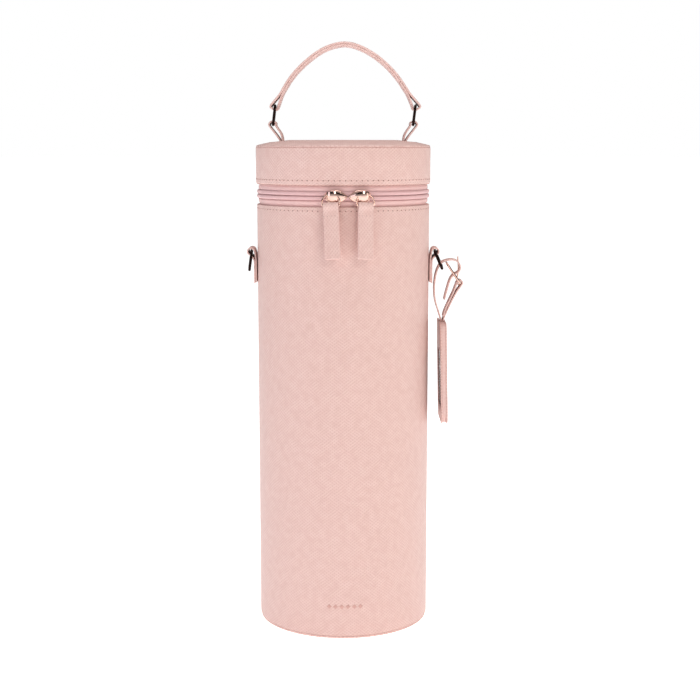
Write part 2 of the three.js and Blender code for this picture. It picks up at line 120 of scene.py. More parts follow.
def softbox(name, place, target, size, power, colour):
    """A square area light that faces a point; metres and watts."""
    light = bpy.data.lights.new(name, "AREA")
    light.shape = "SQUARE"
    light.size = size
    light.energy = power
    light.color = srgb(colour)[:3]
    made = bpy.data.objects.new(name, light)
    bpy.context.scene.collection.objects.link(made)
    made.location = place
    made.rotation_euler = (Vector(target) - Vector(place)).to_track_quat("-Z", "Y").to_euler()


middle = (0, 0, 0.17)
softbox("key_light", (0.6, -1.5, 0.95), middle, 0.5, 5.4, "fff4ec")
softbox("fill_light", (-1.5, -0.8, 0.6), middle, 0.9, 4.2, "eceeff")
softbox("right_light", (1.6, -0.3, 0.4), middle, 0.8, 2.2, "fff4ec")
softbox("top_light", (0.1, 0.0, 1.9), middle, 1.6, 15, "ffffff")

floor_mesh = bpy.data.meshes.new("floor")
floor_corners = [(x * FLOOR_HALF, y * FLOOR_HALF, 0) for x, y in ((-1, -1), (1, -1), (1, 1), (-1, 1))]
floor_mesh.from_pydata(floor_corners, [], [(0, 1, 2, 3)])
floor = bpy.data.objects.new("floor", floor_mesh)
bpy.context.scene.collection.objects.link(floor)
floor.location.z = -0.0003
paper = bpy.data.materials.new("matt_white_paper")
paper.use_nodes = True
paper_shader = paper.node_tree.nodes["Principled BSDF"]
paper_shader.inputs["Base Color"].default_value = srgb("fafafa")
paper_shader.inputs["Roughness"].default_value = 0.9
paper_shader.inputs["Specular IOR Level"].default_value = 0.0
paper_shader.inputs["Emission Color"].default_value = srgb("ffffff")
paper_shader.inputs["Emission Strength"].default_value = FLOOR_GLOW
floor_mesh.materials.append(paper)

# ------------------------------------------------------------------ case body
# A stiff tube wrapped in pink cross-grain leatherette (polyurethane on a cloth back), pressed with fine
# crossing diagonal ridges. Its top edge is turned in, and its foot meets the edge of the base disc.
MM = 0.001
CASE_SEGMENTS = 192
GRAIN_PITCH = 1.4  # the real ridges are about 0.7 mm apart: drawn coarser, so that they show
GRAIN_DEPTH = 0.09
GRAIN_ANGLES = (52, -52)
PATCH_SCALE = 240.0  # patches about 4 mm wide, where one set of ridges is pressed deeper than the other
WAVE_PERIOD = math.pi / 10  # of Blender's wave texture at scale 1
GLOSS_SPREAD = 0.07
LEATHER = "dfbbb3"
# The next two tones are painted shade for the grain's valleys and painted highlight for its ridge tops.
LEATHER_VALLEY_SHADE = "d5aea6"
LEATHER_RIDGE_HIGHLIGHT = "e5c5bd"


def corners(node):
    """A CAD node's lowest and highest corners, in millimetres."""
    low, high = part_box(node)
    return low / MM, high / MM


def new_material(name):
    """A new node material, its tree and its shader."""
    made = bpy.data.materials.new(name)
    made.use_nodes = True
    return made, made.node_tree, made.node_tree.nodes["Principled BSDF"]


def leatherette(name, plain, valley_shade, ridge_highlight, roughness=0.5):
    """Pressed polyurethane leather, a satin sheet whose colour follows its crossing ridges: painted highlight
    on the ridges and painted shade in the valleys.
    """
    made, tree, shader = new_material(name)
    place = add(tree, "ShaderNodeUVMap", uv_map="grain").outputs["UV"]
    ridges = []
    for angle in GRAIN_ANGLES:
        turned = add(tree, "ShaderNodeMapping", {"Vector": place, "Rotation": (0, 0, math.radians(angle))})
        turned = turned.outputs[0]
        wave = {"Vector": turned, "Scale": WAVE_PERIOD / (GRAIN_PITCH * MM), "Distortion": 2.2, "Detail": 2.0,
                "Detail Scale": 0.5}
        line = add(tree, "ShaderNodeTexWave", wave).outputs["Fac"]
        patches = {"Vector": turned, "Scale": PATCH_SCALE, "Detail": 1.0}
        patch = add(tree, "ShaderNodeTexNoise", patches).outputs["Fac"]
        span = {"Value": patch, "From Min": 0.35, "From Max": 0.65, "To Min": 0.45, "To Max": 1.0}
        strength = add(tree, "ShaderNodeMapRange", span).outputs[0]
        ridges.append(add(tree, "ShaderNodeMath", {0: line, 1: strength}, operation="MULTIPLY").outputs[0])
    hatch = add(tree, "ShaderNodeMath", {0: ridges[0], 1: ridges[1]}, operation="MAXIMUM").outputs[0]
    pebbles = add(tree, "ShaderNodeTexNoise", {"Vector": place, "Scale": 900.0, "Detail": 2.0}).outputs["Fac"]
    relief = add(tree, "ShaderNodeMath", {0: pebbles, 1: 0.45, 2: hatch}, operation="MULTIPLY_ADD").outputs[0]
    bump = add(tree, "ShaderNodeBump", {"Height": relief, "Distance": GRAIN_DEPTH * MM, "Strength": 1.0})
    blotch = add(tree, "ShaderNodeTexNoise", {"Vector": place, "Scale": 45.0, "Detail": 3.0}).outputs["Fac"]
    # The colour follows the ridges: painted shade in the valleys and painted highlight on the ridge tops, with
    # a little random blotching of tone.
    mixed = add(tree, "ShaderNodeMath", {0: blotch, 1: 0.18, 2: hatch}, operation="MULTIPLY_ADD").outputs[0]
    tint = ramp(tree, mixed, [(0.1, valley_shade), (0.6, plain), (1.0, ridge_highlight)])
    span = {"Value": blotch, "To Min": roughness - GLOSS_SPREAD, "To Max": roughness + GLOSS_SPREAD}
    rough = add(tree, "ShaderNodeMapRange", span)
    tree.links.new(tint, shader.inputs["Base Color"])
    tree.links.new(rough.outputs[0], shader.inputs["Roughness"])
    tree.links.new(bump.outputs[0], shader.inputs["Normal"])
    return made


leather = leatherette("cross_grain_leatherette", LEATHER, LEATHER_VALLEY_SHADE, LEATHER_RIDGE_HIGHLIGHT)


def block(left, right, low, high):
    """The four corners of a rectangle, in order."""
    return [(left, low), (right, low), (right, high), (left, high)]


def rounded(outline, radius, steps=4):
    """A closed outline of (a, b) points with each corner rounded, in the same order."""
    made = []
    count = len(outline)
    for i, corner in enumerate(outline):
        here = Vector(corner)
        before = Vector(outline[i - 1]) - here
        after = Vector(outline[(i + 1) % count]) - here
        reach = min(radius, before.length * 0.49, after.length * 0.49)
        start = here + before.normalized() * reach
        end = here + after.normalized() * reach
        for k in range(steps + 1):
            t = k / steps
            made.append(tuple(start * (1 - t) ** 2 + here * 2 * t * (1 - t) + end * t * t))
    return made


def surface(name, rows, materials, loop_rows=False, caps=False, flat_uv=False, finish_of=None):
    """A mesh from a grid of points in millimetres: rows run along the piece, columns round its section.
    Its UV map, grain, is the distance along and across in metres, or x and y where flat_uv is set."""
    count, width = len(rows), len(rows[0])
    along = [0.0]
    for i in range(count):
        a, b = rows[i], rows[(i + 1) % count]
        longest = max((Vector(a[j]) - Vector(b[j])).length for j in range(0, width, max(1, width // 8)))
        along.append(along[-1] + longest)
    across = [0.0]
    middle_row = rows[count // 2]
    for j in range(width):
        across.append(across[-1] + (Vector(middle_row[(j + 1) % width]) - Vector(middle_row[j])).length)
    points = [Vector(p) * MM for row in rows for p in row]
    faces, uvs, finishes = [], [], []
    for i in range(count if loop_rows else count - 1):
        for j in range(width):
            grid = [(i, j), (i, j + 1), (i + 1, j + 1), (i + 1, j)]
            faces.append([(a % count) * width + b % width for a, b in grid])
            uvs.append([(along[a] * MM, across[b] * MM) for a, b in grid])
            finishes.append(finish_of(i, j) if finish_of else 0)
    if caps:
        for row, face in ((0, range(width - 1, -1, -1)), (count - 1, range(width))):
            faces.append([row * width + j for j in face])
            uvs.append([(across[j] * MM, rows[row][j][2] * MM) for j in face])
            finishes.append(finish_of(row, 0) if finish_of else 0)
    mesh = bpy.data.meshes.new(name)
    mesh.from_pydata(points, [], faces)
    layer = mesh.uv_layers.new(name="grain")
    flat = [uv for face in uvs for uv in face]
    for loop, uv in zip(mesh.loops, flat):
        layer.data[loop.index].uv = mesh.vertices[loop.vertex_index].co.xy if flat_uv else uv
    for material in materials:
        mesh.materials.append(material)
    for polygon, index in zip(mesh.polygons, finishes):
        polygon.material_index = index
    mesh.shade_smooth()
    made = bpy.data.objects.new(name, mesh)
    bpy.context.scene.collection.objects.link(made)
    return made


def outwards(piece, merge=0.0):
    """Merges doubled points where asked, and turns every face outwards."""
    work = bmesh.new()
    work.from_mesh(piece.data)
    if merge:
        bmesh.ops.remove_doubles(work, verts=work.verts, dist=merge * MM)
    bmesh.ops.recalc_face_normals(work, faces=work.faces)
    work.to_mesh(piece.data)
    work.free()
    return piece


def round_point(radius, degrees, z):
    """A point at an angle from the front (-Y) towards +X."""
    a = math.radians(degrees)
    return (radius * math.sin(a), -radius * math.cos(a), z)


def turned(name, profile, materials, segments=CASE_SEGMENTS, start=180.0, sweep=360.0, flat_uv=False):
    """A closed profile of (radius, height) points turned about the case's axis."""
    whole = sweep >= 360
    steps = segments if whole else segments + 1
    rows = []
    for i in range(steps):
        degrees = start + sweep * i / segments
        rows.append([round_point(max(r, 1e-4), degrees, z) for r, z in profile])
    made = surface(name, rows, materials, loop_rows=whole, caps=not whole, flat_uv=flat_uv)
    return outwards(made, merge=0.001)


def settle(piece, body, slot, *nodes):
    """Puts a piece on its body and hides the CAD nodes that it stands for; the slot argument is not used."""
    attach(piece, body)
    if nodes:
        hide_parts(*nodes)
    return piece


case_low, case_high = corners("body_skin")
CASE_R = case_high.x
CASE_TOP = case_high.z
CASE_FOOT = case_low.z - 0.2
TURN_IN = 1.52
EDGE_ROUND = 0.55  # of leather turned over a board's edge

wall = rounded(block(CASE_R - TURN_IN, CASE_R, CASE_FOOT, CASE_TOP), EDGE_ROUND)
settle(turned("case_skin", wall, [leather]), "case", "leatherette", "body_skin")

# ------------------------------------------------------------------ stitching
# Bonded polyester thread sewn with a lock stitch about 3.1 mm long, in the leather's own colour.
# Each stitch is a short raised run of thread that dives into a needle hole; the hole is a flat dark dot laid on
# the leather, its colour painted shade of the hole.
STITCH_PITCH = 3.1
THREAD_LENGTH = 2.3
THREAD_WIDTH = 0.5
HOLE_WIDTH = 0.68
THREAD_FLATNESS = 0.4
HOLE_FLATNESS = 0.16
THREAD_LIFT = 0.02  # of a run of stitches above its leather


def mottled(name, dark, light, scale, roughness, detail=2.0, spread=0.0, bump=0.0):
    """A material whose colour drifts between two tones, with a spread of gloss and a bump (millimetres) where
    given. Returns the material and its shader."""
    made, tree, shader = new_material(name)
    place = add(tree, "ShaderNodeTexCoord").outputs["Object"]
    noise = {"Vector": place, "Scale": scale, "Detail": detail}
    drift = add(tree, "ShaderNodeTexNoise", noise).outputs["Fac"]
    tree.links.new(ramp(tree, drift, [(0.3, dark), (0.7, light)]), shader.inputs["Base Color"])
    shader.inputs["Roughness"].default_value = roughness
    if spread:
        span = {"Value": drift, "To Min": roughness, "To Max": roughness + spread}
        tree.links.new(add(tree, "ShaderNodeMapRange", span).outputs[0], shader.inputs["Roughness"])
    if bump:
        relief = add(tree, "ShaderNodeBump", {"Height": drift, "Distance": bump * MM})
        tree.links.new(relief.outputs[0], shader.inputs["Normal"])
    return made, shader


thread, _ = mottled("bonded_polyester_thread", "d9b1a9", "e3bfb7", 2500.0, 0.6)
# The needle hole's dark colour is painted shade inside the hole.
needle_hole_shade, _ = mottled("needle_hole_painted_shade", "8b6058", "91665d", 1500.0, 0.95)


def bead_tree(name, kinds):
    """A geometry-node tree that takes a run of edges and some numbers, given as a dictionary of socket kinds.
    Returns the tree, its numbers' identifiers, its inputs and the run as a curve."""
    tree = bpy.data.node_groups.new(name, "GeometryNodeTree")
    tree.interface.new_socket("Run", in_out="INPUT", socket_type="NodeSocketGeometry")
    sockets = {key: tree.interface.new_socket(key, in_out="INPUT", socket_type=kind).identifier
               for key, kind in kinds.items()}
    tree.interface.new_socket("Beads", in_out="OUTPUT", socket_type="NodeSocketGeometry")
    given = add(tree, "NodeGroupInput").outputs
    return tree, sockets, given, add(tree, "GeometryNodeMeshToCurve", {"Mesh": given["Run"]}).outputs["Curve"]


def beads(tree, points, segments, length, width, flatness, material, along=None, smooth=True):
    """A flattened bead at each point, lying along the run and facing out, shifted along it where asked."""
    tangent = add(tree, "GeometryNodeInputTangent").outputs[0]
    out = add(tree, "GeometryNodeInputNamedAttribute", {"Name": "out"}, data_type="FLOAT_VECTOR").outputs[0]
    axes = {0: out, 1: tangent}
    facing = add(tree, "FunctionNodeAxesToRotation", axes, primary_axis="Z", secondary_axis="X").outputs[0]
    bead = add(tree, "GeometryNodeMeshUVSphere", {"Segments": segments, "Rings": 6, "Radius": 0.5})
    thick = add(tree, "ShaderNodeMath", {0: width, 1: flatness}, operation="MULTIPLY").outputs[0]
    size = add(tree, "ShaderNodeCombineXYZ", {0: length, 1: width, 2: thick}).outputs[0]
    shaping = {"Geometry": bead.outputs["Mesh"], "Scale": size}
    if along:
        shaping["Translation"] = add(tree, "ShaderNodeCombineXYZ", {0: along}).outputs[0]
    shaped = add(tree, "GeometryNodeTransform", shaping).outputs[0]
    laying = {"Points": points, "Instance": shaped, "Rotation": facing}
    laid = add(tree, "GeometryNodeInstanceOnPoints", laying).outputs[0]
    real = add(tree, "GeometryNodeRealizeInstances", {0: laid}).outputs[0]
    if smooth:
        real = add(tree, "GeometryNodeSetShadeSmooth", {0: real}).outputs[0]
    return add(tree, "GeometryNodeSetMaterial", {"Geometry": real, "Material": material}).outputs[0]


STITCH_INPUTS = {"Pitch": STITCH_PITCH, "Thread length": THREAD_LENGTH, "Thread width": THREAD_WIDTH,
                 "Hole width": HOLE_WIDTH}
kinds = dict.fromkeys(STITCH_INPUTS, "NodeSocketFloat")
stitch_tree, stitch_sockets, given, seam = bead_tree("stitch_run", kinds)
pacing = {"Curve": seam, "Length": given["Pitch"]}
paced = add(stitch_tree, "GeometryNodeResampleCurve", pacing, mode="LENGTH").outputs[0]
half_step = add(stitch_tree, "ShaderNodeMath", {0: given["Pitch"], 1: 0.5}, operation="MULTIPLY").outputs[0]
length, width, hole = given["Thread length"], given["Thread width"], given["Hole width"]
joined = add(stitch_tree, "GeometryNodeJoinGeometry")
for half in (beads(stitch_tree, paced, 8, length, width, THREAD_FLATNESS, thread),
             beads(stitch_tree, paced, 8, hole, hole, HOLE_FLATNESS, needle_hole_shade, half_step)):
    stitch_tree.links.new(half, joined.inputs[0])
add(stitch_tree, "NodeGroupOutput", {0: joined.outputs[0]})


def grown(name, points, outs, edges, group, values):
    """Runs a geometry-node tree on points (millimetres), their outward directions and edges, and returns the
    plain mesh that it makes."""
    seed = bpy.data.meshes.new(name)
    seed.from_pydata([Vector(p) * MM for p in points], edges, [])
    attribute = seed.attributes.new("out", "FLOAT_VECTOR", "POINT")
    attribute.data.foreach_set("vector", [x for o in outs for x in o])
    holder = bpy.data.objects.new(name + "_seed", seed)
    bpy.context.scene.collection.objects.link(holder)
    modifier = holder.modifiers.new("grow", "NODES")
    modifier.node_group = group
    for identifier, value in values.items():
        modifier[identifier] = value
    graph = bpy.context.evaluated_depsgraph_get()
    made = bpy.data.objects.new(name, bpy.data.meshes.new_from_object(holder.evaluated_get(graph)))
    bpy.data.objects.remove(holder)
    bpy.context.scene.collection.objects.link(made)
    return made


def stitches(name, body, runs, fineness=1.0):
    """Sews every run: each is a list of (point, outward direction) pairs, and whether it closes on itself."""
    points, outs, edges = [], [], []
    for run, closed in runs:
        first = len(points)
        points += [p for p, o in run]
        outs += [Vector(o).normalized() for p, o in run]
        edges += [(first + i, first + i + 1) for i in range(len(run) - 1)]
        if closed:
            edges.append((len(points) - 1, first))
    sizes = {stitch_sockets[key]: size * MM * fineness for key, size in STITCH_INPUTS.items()}
    settle(grown(name, points, outs, edges, stitch_tree, sizes), body, "leatherette")


def ring_run(radius, z, start=0.0, sweep=360.0, steps=180):
    """A run of stitches round the case."""
    closed = sweep >= 360
    angles = [start + sweep * i / steps for i in range(steps if closed else steps + 1)]
    return [(round_point(radius, a, z), round_point(1, a, 0)) for a in angles], closed


CASE_SEAM_Z = CASE_TOP - 2.2
sewn = [ring_run(CASE_R + THREAD_LIFT, CASE_SEAM_Z)]

# ------------------------------------------------------------------ back seam
# The wrap's two edges meet at the back under a narrow leather strip, glued down and sewn along both sides.
STRIP_HALF = 5.0
STRIP_THICK = 0.55
STRIP_STITCHES = 0.7  # of the way from the strip's middle to its edge
STRIP_FOOT = CASE_FOOT + 1.5
STRIP_TOP = CASE_SEAM_Z - 2.4
strip_half_deg = math.degrees(STRIP_HALF / CASE_R)
strip = rounded(block(CASE_R - 0.1, CASE_R + STRIP_THICK, STRIP_FOOT, STRIP_TOP), 0.3)
back_strip = turned("back_seam_strip", strip, [leather], 12, 180 - strip_half_deg, 2 * strip_half_deg)
settle(back_strip, "case", "leatherette")
for side in (-1, 1):
    degrees = 180 + side * strip_half_deg * STRIP_STITCHES
    levels = [CASE_FOOT + 3 + (CASE_SEAM_Z - CASE_FOOT - 7.5) * i / 60 for i in range(61)]
    radius = CASE_R + STRIP_THICK + THREAD_LIFT
    sewn.append(([(round_point(radius, degrees, z), round_point(1, degrees, 0)) for z in levels], False))
stitches("case_stitches", "case", sewn)

# ------------------------------------------------------------------ base
# A stiff disc covered in the same leatherette. Its turned edge shows below the wrap as a thin band.
base_low, base_high = corners("base_skin")
base_corners = rounded(block(0, base_high.x, base_low.z, base_high.z), 0.5)
base_profile = [(0, base_low.z), *base_corners[5:15], (0, base_high.z)]  # the rim's two corners only
settle(turned("base_disc", base_profile, [leather], flat_uv=True), "case", "leatherette", "base_skin")

# ------------------------------------------------------------------ boards and foam
# Grey recycled board keeps the walls round, and white closed-cell polyethylene foam insulates them.
# They're sealed between the wrap and the lining, so only their own finishes are given here.
board, _ = mottled("recycled_greyboard", "8f8a82", "b9b3a8", 700.0, 0.9, detail=4.0)

foam, tree, shader = new_material("closed_cell_polyethylene_foam")
place = add(tree, "ShaderNodeTexCoord").outputs["Object"]
cells = add(tree, "ShaderNodeTexVoronoi", {"Vector": place, "Scale": 900.0}).outputs["Distance"]
tree.links.new(ramp(tree, cells, [(0.0, "e4e2de"), (0.6, "f6f5f2")]), shader.inputs["Base Color"])
bump = add(tree, "ShaderNodeBump", {"Height": cells, "Distance": 0.2 * MM})
tree.links.new(bump.outputs[0], shader.inputs["Normal"])
shader.inputs["Roughness"].default_value = 0.8


def refinish(material, *nodes):
    """Gives CAD nodes that stand for themselves a finished material."""
    for name in nodes:
        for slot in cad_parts[name].material_slots:
            slot.material = material


refinish(board, "body_board", "base_board", "lid_top_board", "lid_side_board", "tag_stiffener")
refinish(foam, "body_foam", "base_foam", "lid_top_pad", "lid_top_foam", "lid_side_foam")

# ------------------------------------------------------------------ lining
# Wipe-clean polyester cloth, plain woven with threads about half a millimetre apart, glued to the foam.
# A folded tape binds both rims where the lining meets the board.
LINING_THREAD = 0.5
LINING_COLOURS = ("b9afa9", "e0d8d3")


def woven(name, dark, light, pitch, depth, roughness):
    """Plain-woven cloth: two crossed sets of threads on the piece's own UV map."""
    made, tree, shader = new_material(name)
    place = add(tree, "ShaderNodeUVMap", uv_map="grain").outputs["UV"]
    sets = []
    for direction in ("X", "Y"):
        wave = {"Vector": place, "Scale": WAVE_PERIOD / (pitch * MM), "Distortion": 0.4}
        sets.append(add(tree, "ShaderNodeTexWave", wave, bands_direction=direction).outputs["Fac"])
    cloth = add(tree, "ShaderNodeMath", {0: sets[0], 1: sets[1]}, operation="MULTIPLY").outputs[0]
    fuzz = add(tree, "ShaderNodeTexNoise", {"Vector": place, "Scale": 400.0, "Detail": 3.0}).outputs["Fac"]
    mixed = add(tree, "ShaderNodeMath", {0: fuzz, 1: 0.8, 2: cloth}, operation="MULTIPLY_ADD").outputs[0]
    tree.links.new(ramp(tree, mixed, [(0.2, dark), (1.0, light)]), shader.inputs["Base Color"])
    bump = add(tree, "ShaderNodeBump", {"Height": mixed, "Distance": depth * MM})
    tree.links.new(bump.outputs[0], shader.inputs["Normal"])
    shader.inputs["Roughness"].default_value = roughness
    shader.inputs["Sheen Weight"].default_value = 0.15
    return made


lining = woven("plain_woven_polyester_lining", *LINING_COLOURS, LINING_THREAD, 0.08, 0.75)
binding = woven("woven_binding_tape", "d29d98", "e6bcb6", 0.6, 0.1, 0.8)

lining_high = corners("body_lining")[1]
floor_low, floor_high = corners("base_lining")
LINING_R = lining_high.x
LINING_THICK = 0.6
COVE = 2.0  # radius of the soft turn where the lining meets the floor
inner = LINING_R - LINING_THICK
cove = [(inner - COVE + COVE * math.sin(a), floor_high.z + COVE - COVE * math.cos(a))
        for a in (math.pi / 2 * i / 6 for i in range(7))]
bag = [(0, floor_low.z), (LINING_R, floor_low.z), (LINING_R, lining_high.z), (inner, lining_high.z),
       *reversed(cove), (0, floor_high.z)]
settle(turned("case_lining", bag, [lining], 96), "case", "lining_cloth", "body_lining", "base_lining")

for body, node, name in (("case", "body_rim_binding", "case_rim_binding"),
                         ("lid", "lid_rim_binding", "lid_rim_binding_tape")):
    low, high = corners(node)
    rim = rounded(block(inner - 0.1, high.x, low.z, high.z), 0.4)
    settle(turned(name, rim, [binding], 96), body, "zip_cloth", node)

# ------------------------------------------------------------------ lid
# A shallow drum of board in the same leatherette: a side band turned in at both edges, and a top panel,
# slightly crowned over its board, sewn on along a sharp shoulder. Two slots let the handle's loops through.
band_low, band_high = corners("lid_side_band")
LID_R = band_high.x
LID_LOW = band_low.z
SHOULDER = band_high.z
PANEL_R = corners("lid_top_panel")[1].x
PANEL_SKIN = 1.2
LOOP_X = 35.3
SLOT_HALF_X = 1.75
SLOT_HALF_Y = 8.1
SLOT_DIP = 0.45  # how far the leather is drawn down beside a slot
SLOT_DIP_REACH = 3.0
HINGE_HALF_DEG = 20.0

band = rounded(block(LID_R - 1.4, LID_R, LID_LOW, SHOULDER), EDGE_ROUND)
settle(turned("lid_side_wrap", band, [leather]), "lid", "leatherette", "lid_side_band")

# A darker copy of the leatherette, as painted shade: it fills the groove at the lid's shoulder and makes the
# dark line under the lid's lower edge.
seam_shade_leather = leatherette("leatherette_darkened_as_seam_shade", "c79b92", "b9897f", "cfa69d")
crown = [(PANEL_R - 0.6, 1.35), (46, 2.25), (42, 3.1), (37, 3.8), (33, 4.2), (26, 4.15), (18, 4.0), (9, 3.85),
         (0, 3.8)]
rim = [(46, 0.03), (PANEL_R - 0.45, 0.03), (PANEL_R - 0.1, 0.22), (PANEL_R, 0.6), (PANEL_R - 0.12, 1.02)]
under = [(0, crown[-1][1] - PANEL_SKIN), *[(r, h - PANEL_SKIN) for r, h in reversed(crown[1:-1])]]
cover = [(r, SHOULDER + h) for r, h in under + rim + crown]
lid_top = turned("lid_top_cover", cover, [leather], flat_uv=True)


def cut_slots(piece):
    """Cuts the two slots for the handle's loops, and leaves a soft dip round each."""
    for vertex in piece.data.vertices:
        for side in (-1, 1):
            dx = abs(vertex.co.x / MM - side * LOOP_X)
            dy = max(0.0, abs(vertex.co.y / MM) - SLOT_HALF_Y)
            near = math.exp(-((dx / SLOT_DIP_REACH) ** 2) - (dy / SLOT_DIP_REACH) ** 2)
            vertex.co.z -= SLOT_DIP * near * MM
    slot_outline = rounded(block(-SLOT_HALF_X, SLOT_HALF_X, -SLOT_HALF_Y, SLOT_HALF_Y), 0.8)
    for side in (-1, 1):
        rows = [[(side * LOOP_X + x, y, z) for x, y in slot_outline] for z in (SHOULDER - 2, SHOULDER + 12)]
        cutter = outwards(surface("slot_cutter", rows, [leather], caps=True))
        cut = piece.modifiers.new("slot", "BOOLEAN")
        cut.object = cutter
        cut.solver = "EXACT"
        graph = bpy.context.evaluated_depsgraph_get()
        mesh = bpy.data.meshes.new_from_object(piece.evaluated_get(graph))
        piece.modifiers.clear()
        piece.data = mesh
        bpy.data.objects.remove(cutter)


# A ring in the groove where the top meets the side band; its darker leather is painted shade in the seam's
# groove.
welt = rounded(block(LID_R - 1.0, LID_R - 0.1, SHOULDER - 0.3, SHOULDER + 0.3), 0.2)
settle(turned("lid_seam_groove_shade", welt, [seam_shade_leather]), "lid", "leatherette")
cut_slots(lid_top)
settle(lid_top, "lid", "leatherette", "lid_top_panel")
# A ring under the lid's lower edge; its darker leather is a painted shade line under the overhanging edge.
edge_shade_half_deg = 180 - HINGE_HALF_DEG - 1
edge_shade_profile = rounded(block(LID_R - 1.9, LID_R - 0.45, LID_LOW - 0.55, LID_LOW + 0.3), 0.25)
lid_edge_shade_ring = turned("lid_edge_shade_ring", edge_shade_profile, [seam_shade_leather], 96, 360 - edge_shade_half_deg, 2 * edge_shade_half_deg)
settle(lid_edge_shade_ring, "lid", "leatherette")
stitches("lid_stitches", "lid", [ring_run(LID_R + THREAD_LIFT, LID_LOW + 2.4)])

low, high = corners("lid_lining")
cap_in = high.x - LINING_THICK
lid_bag = [(0, high.z), (high.x, high.z), (high.x, low.z), (cap_in, low.z), (cap_in, high.z - 2.2),
           (cap_in - 0.6, high.z - 1.1), (cap_in - 1.8, high.z - LINING_THICK), (0, high.z - LINING_THICK)]
settle(turned("lid_lining_cap", lid_bag, [lining], 96), "lid", "lining_cloth", "lid_lining")

# ------------------------------------------------------------------ zip
# A nylon coil zip with its coil at the back: each woven polyester tape folds over its row of coil, so that
# two smooth ridges meet at a thin dark line. The tapes are sewn inside the body's and the lid's edges.
ZIP_Z = 252.0
TAPE_R = corners("zip_tape_lower")[1].x - 0.1
RIDGE_R = 50.0
PARTING = 0.09
RIDGE_WIDTH = 2.35
TAPE_HEM = 14.0
ZIP_HALF_DEG = 158.5

tape_cloth = woven("twill_zip_tape", "e8beba", "f1cbc7", 0.55, 0.07, 0.8)
ridge_cloth = woven("folded_zip_tape_over_coil", "daadad", "e4bdbc", 0.5, 0.05, 0.6)
# A darker copy of the tape, as painted shade in the fold under the lower ridge.
under_ridge_shade_cloth = woven("zip_tape_painted_shade_under_ridge", "b07a77", "bf8c89", 0.5, 0.05, 0.8)


def zip_half(name, side, body, *nodes):
    """One tape with its folded ridge; side is -1 for the lower half and 1 for the upper."""
    near = PARTING
    far = PARTING + RIDGE_WIDTH
    outline = [(TAPE_R - 0.6, near + 0.2), (TAPE_R + 0.6, near), (RIDGE_R - 0.85, near + 0.03),
               (RIDGE_R - 0.4, near + 0.2), (RIDGE_R - 0.1, near + 0.5), (RIDGE_R, near + 0.95),
               (RIDGE_R, far - 0.95), (RIDGE_R - 0.12, far - 0.45), (RIDGE_R - 0.45, far - 0.12),
               (RIDGE_R - 0.95, far), (TAPE_R + 0.3, far), (TAPE_R + 0.6, far + 0.5),
               (TAPE_R + 0.7, far + 1.4), (TAPE_R + 0.5, far + 2.2), (TAPE_R, far + 2.85),
               (TAPE_R, TAPE_HEM), (TAPE_R - 0.5, TAPE_HEM)]
    outline = [(r, ZIP_Z + side * h) for r, h in outline]
    cloths = [tape_cloth, ridge_cloth, under_ridge_shade_cloth]
    made = turned(name, outline, cloths, 176, -ZIP_HALF_DEG, 2 * ZIP_HALF_DEG)
    for polygon in made.data.polygons:
        height = side * (polygon.center.z / MM - ZIP_Z)
        # The ridge's faces take the ridge cloth; on the lower half, the faces at the ridge's far edge take the
        # darker tape, as painted shade under the ridge.
        if height < far + 0.3:
            polygon.material_index = 2 if side < 0 and height > far - 0.09 else 1
    settle(made, body, "zip_cloth", *nodes)


zip_half("zip_tape_and_coil_lower", -1, "case", "zip_tape_lower", "zip_teeth_lower")
zip_half("zip_tape_and_coil_upper", 1, "lid", "zip_tape_upper", "zip_teeth_upper")

# ------------------------------------------------------------------ soft hinge
# At the back the zip stops at a leatherette panel that joins the body to the lid and folds as the lid opens.
# A cloth panel backs it on the inside.
PANEL_ROWS = 28
PANEL_LAP = 0.4  # under the edges of the body's and the lid's leather


def hinge_sheet(name, inside, outside, half, material, node):
    """A curved sheet at the back of the case, with rows enough to bend smoothly."""
    low, high = CASE_TOP - PANEL_LAP, LID_LOW + PANEL_LAP
    side_in = [(inside, low + (high - low) * i / PANEL_ROWS) for i in range(PANEL_ROWS + 1)]
    side_out = [(outside, z) for r, z in reversed(side_in)]
    made = turned(name, side_in + side_out, [material], 24, 180 - half, 2 * half)
    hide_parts(node)
    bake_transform(made)


hinge_sheet("hinge_leather", 49.0, 50.15, HINGE_HALF_DEG, leather, "hinge_panel")
hinge_sheet("hinge_cloth", 47.2, 47.7, HINGE_HALF_DEG + 2, lining, "hinge_lining")

# ------------------------------------------------------------------ metal
# Zinc alloy, die-cast or bent from wire and barrel-polished: the zip's parts and the buckle are plated a pale
# rose gold, and the four rectangular rings a dark bronze. Handling leaves only a faint cloudiness.
RING_HALF = 8.8
RING_DROP = 10.8
RING_WIRE = 0.8


def plated(name, dark, light, roughness):
    """Polished plating with a faint cloudiness in its gloss."""
    made, shader = mottled(name, dark, light, 350.0, roughness, detail=3.0, spread=0.08)
    shader.inputs["Metallic"].default_value = 1.0
    return made


rose_gold = plated("polished_rose_gold_plating", "dcb6a7", "e9c9bc", 0.08)
ring_bronze = plated("black_bronze_plating", "1d1311", "2a1c19", 0.18)


def wire(name, points, radius, material, sides=14):
    """Round wire along a closed run of points in millimetres that lies in one plane."""
    count = len(points)
    centre = sum((Vector(p) for p in points), Vector()) / count
    plane = Vector()
    for i in range(count):
        plane += (Vector(points[i - 1]) - centre).cross(Vector(points[i]) - centre)
    plane.normalize()
    rows = []
    for i in range(count):
        along = (Vector(points[(i + 1) % count]) - Vector(points[i - 1])).normalized()
        out = along.cross(plane)
        ring = []
        for k in range(sides):
            a = 2 * math.pi * k / sides
            ring.append(Vector(points[i]) + (out * math.cos(a) + plane * math.sin(a)) * radius)
        rows.append(ring)
    return outwards(surface(name, rows, [material], loop_rows=True))


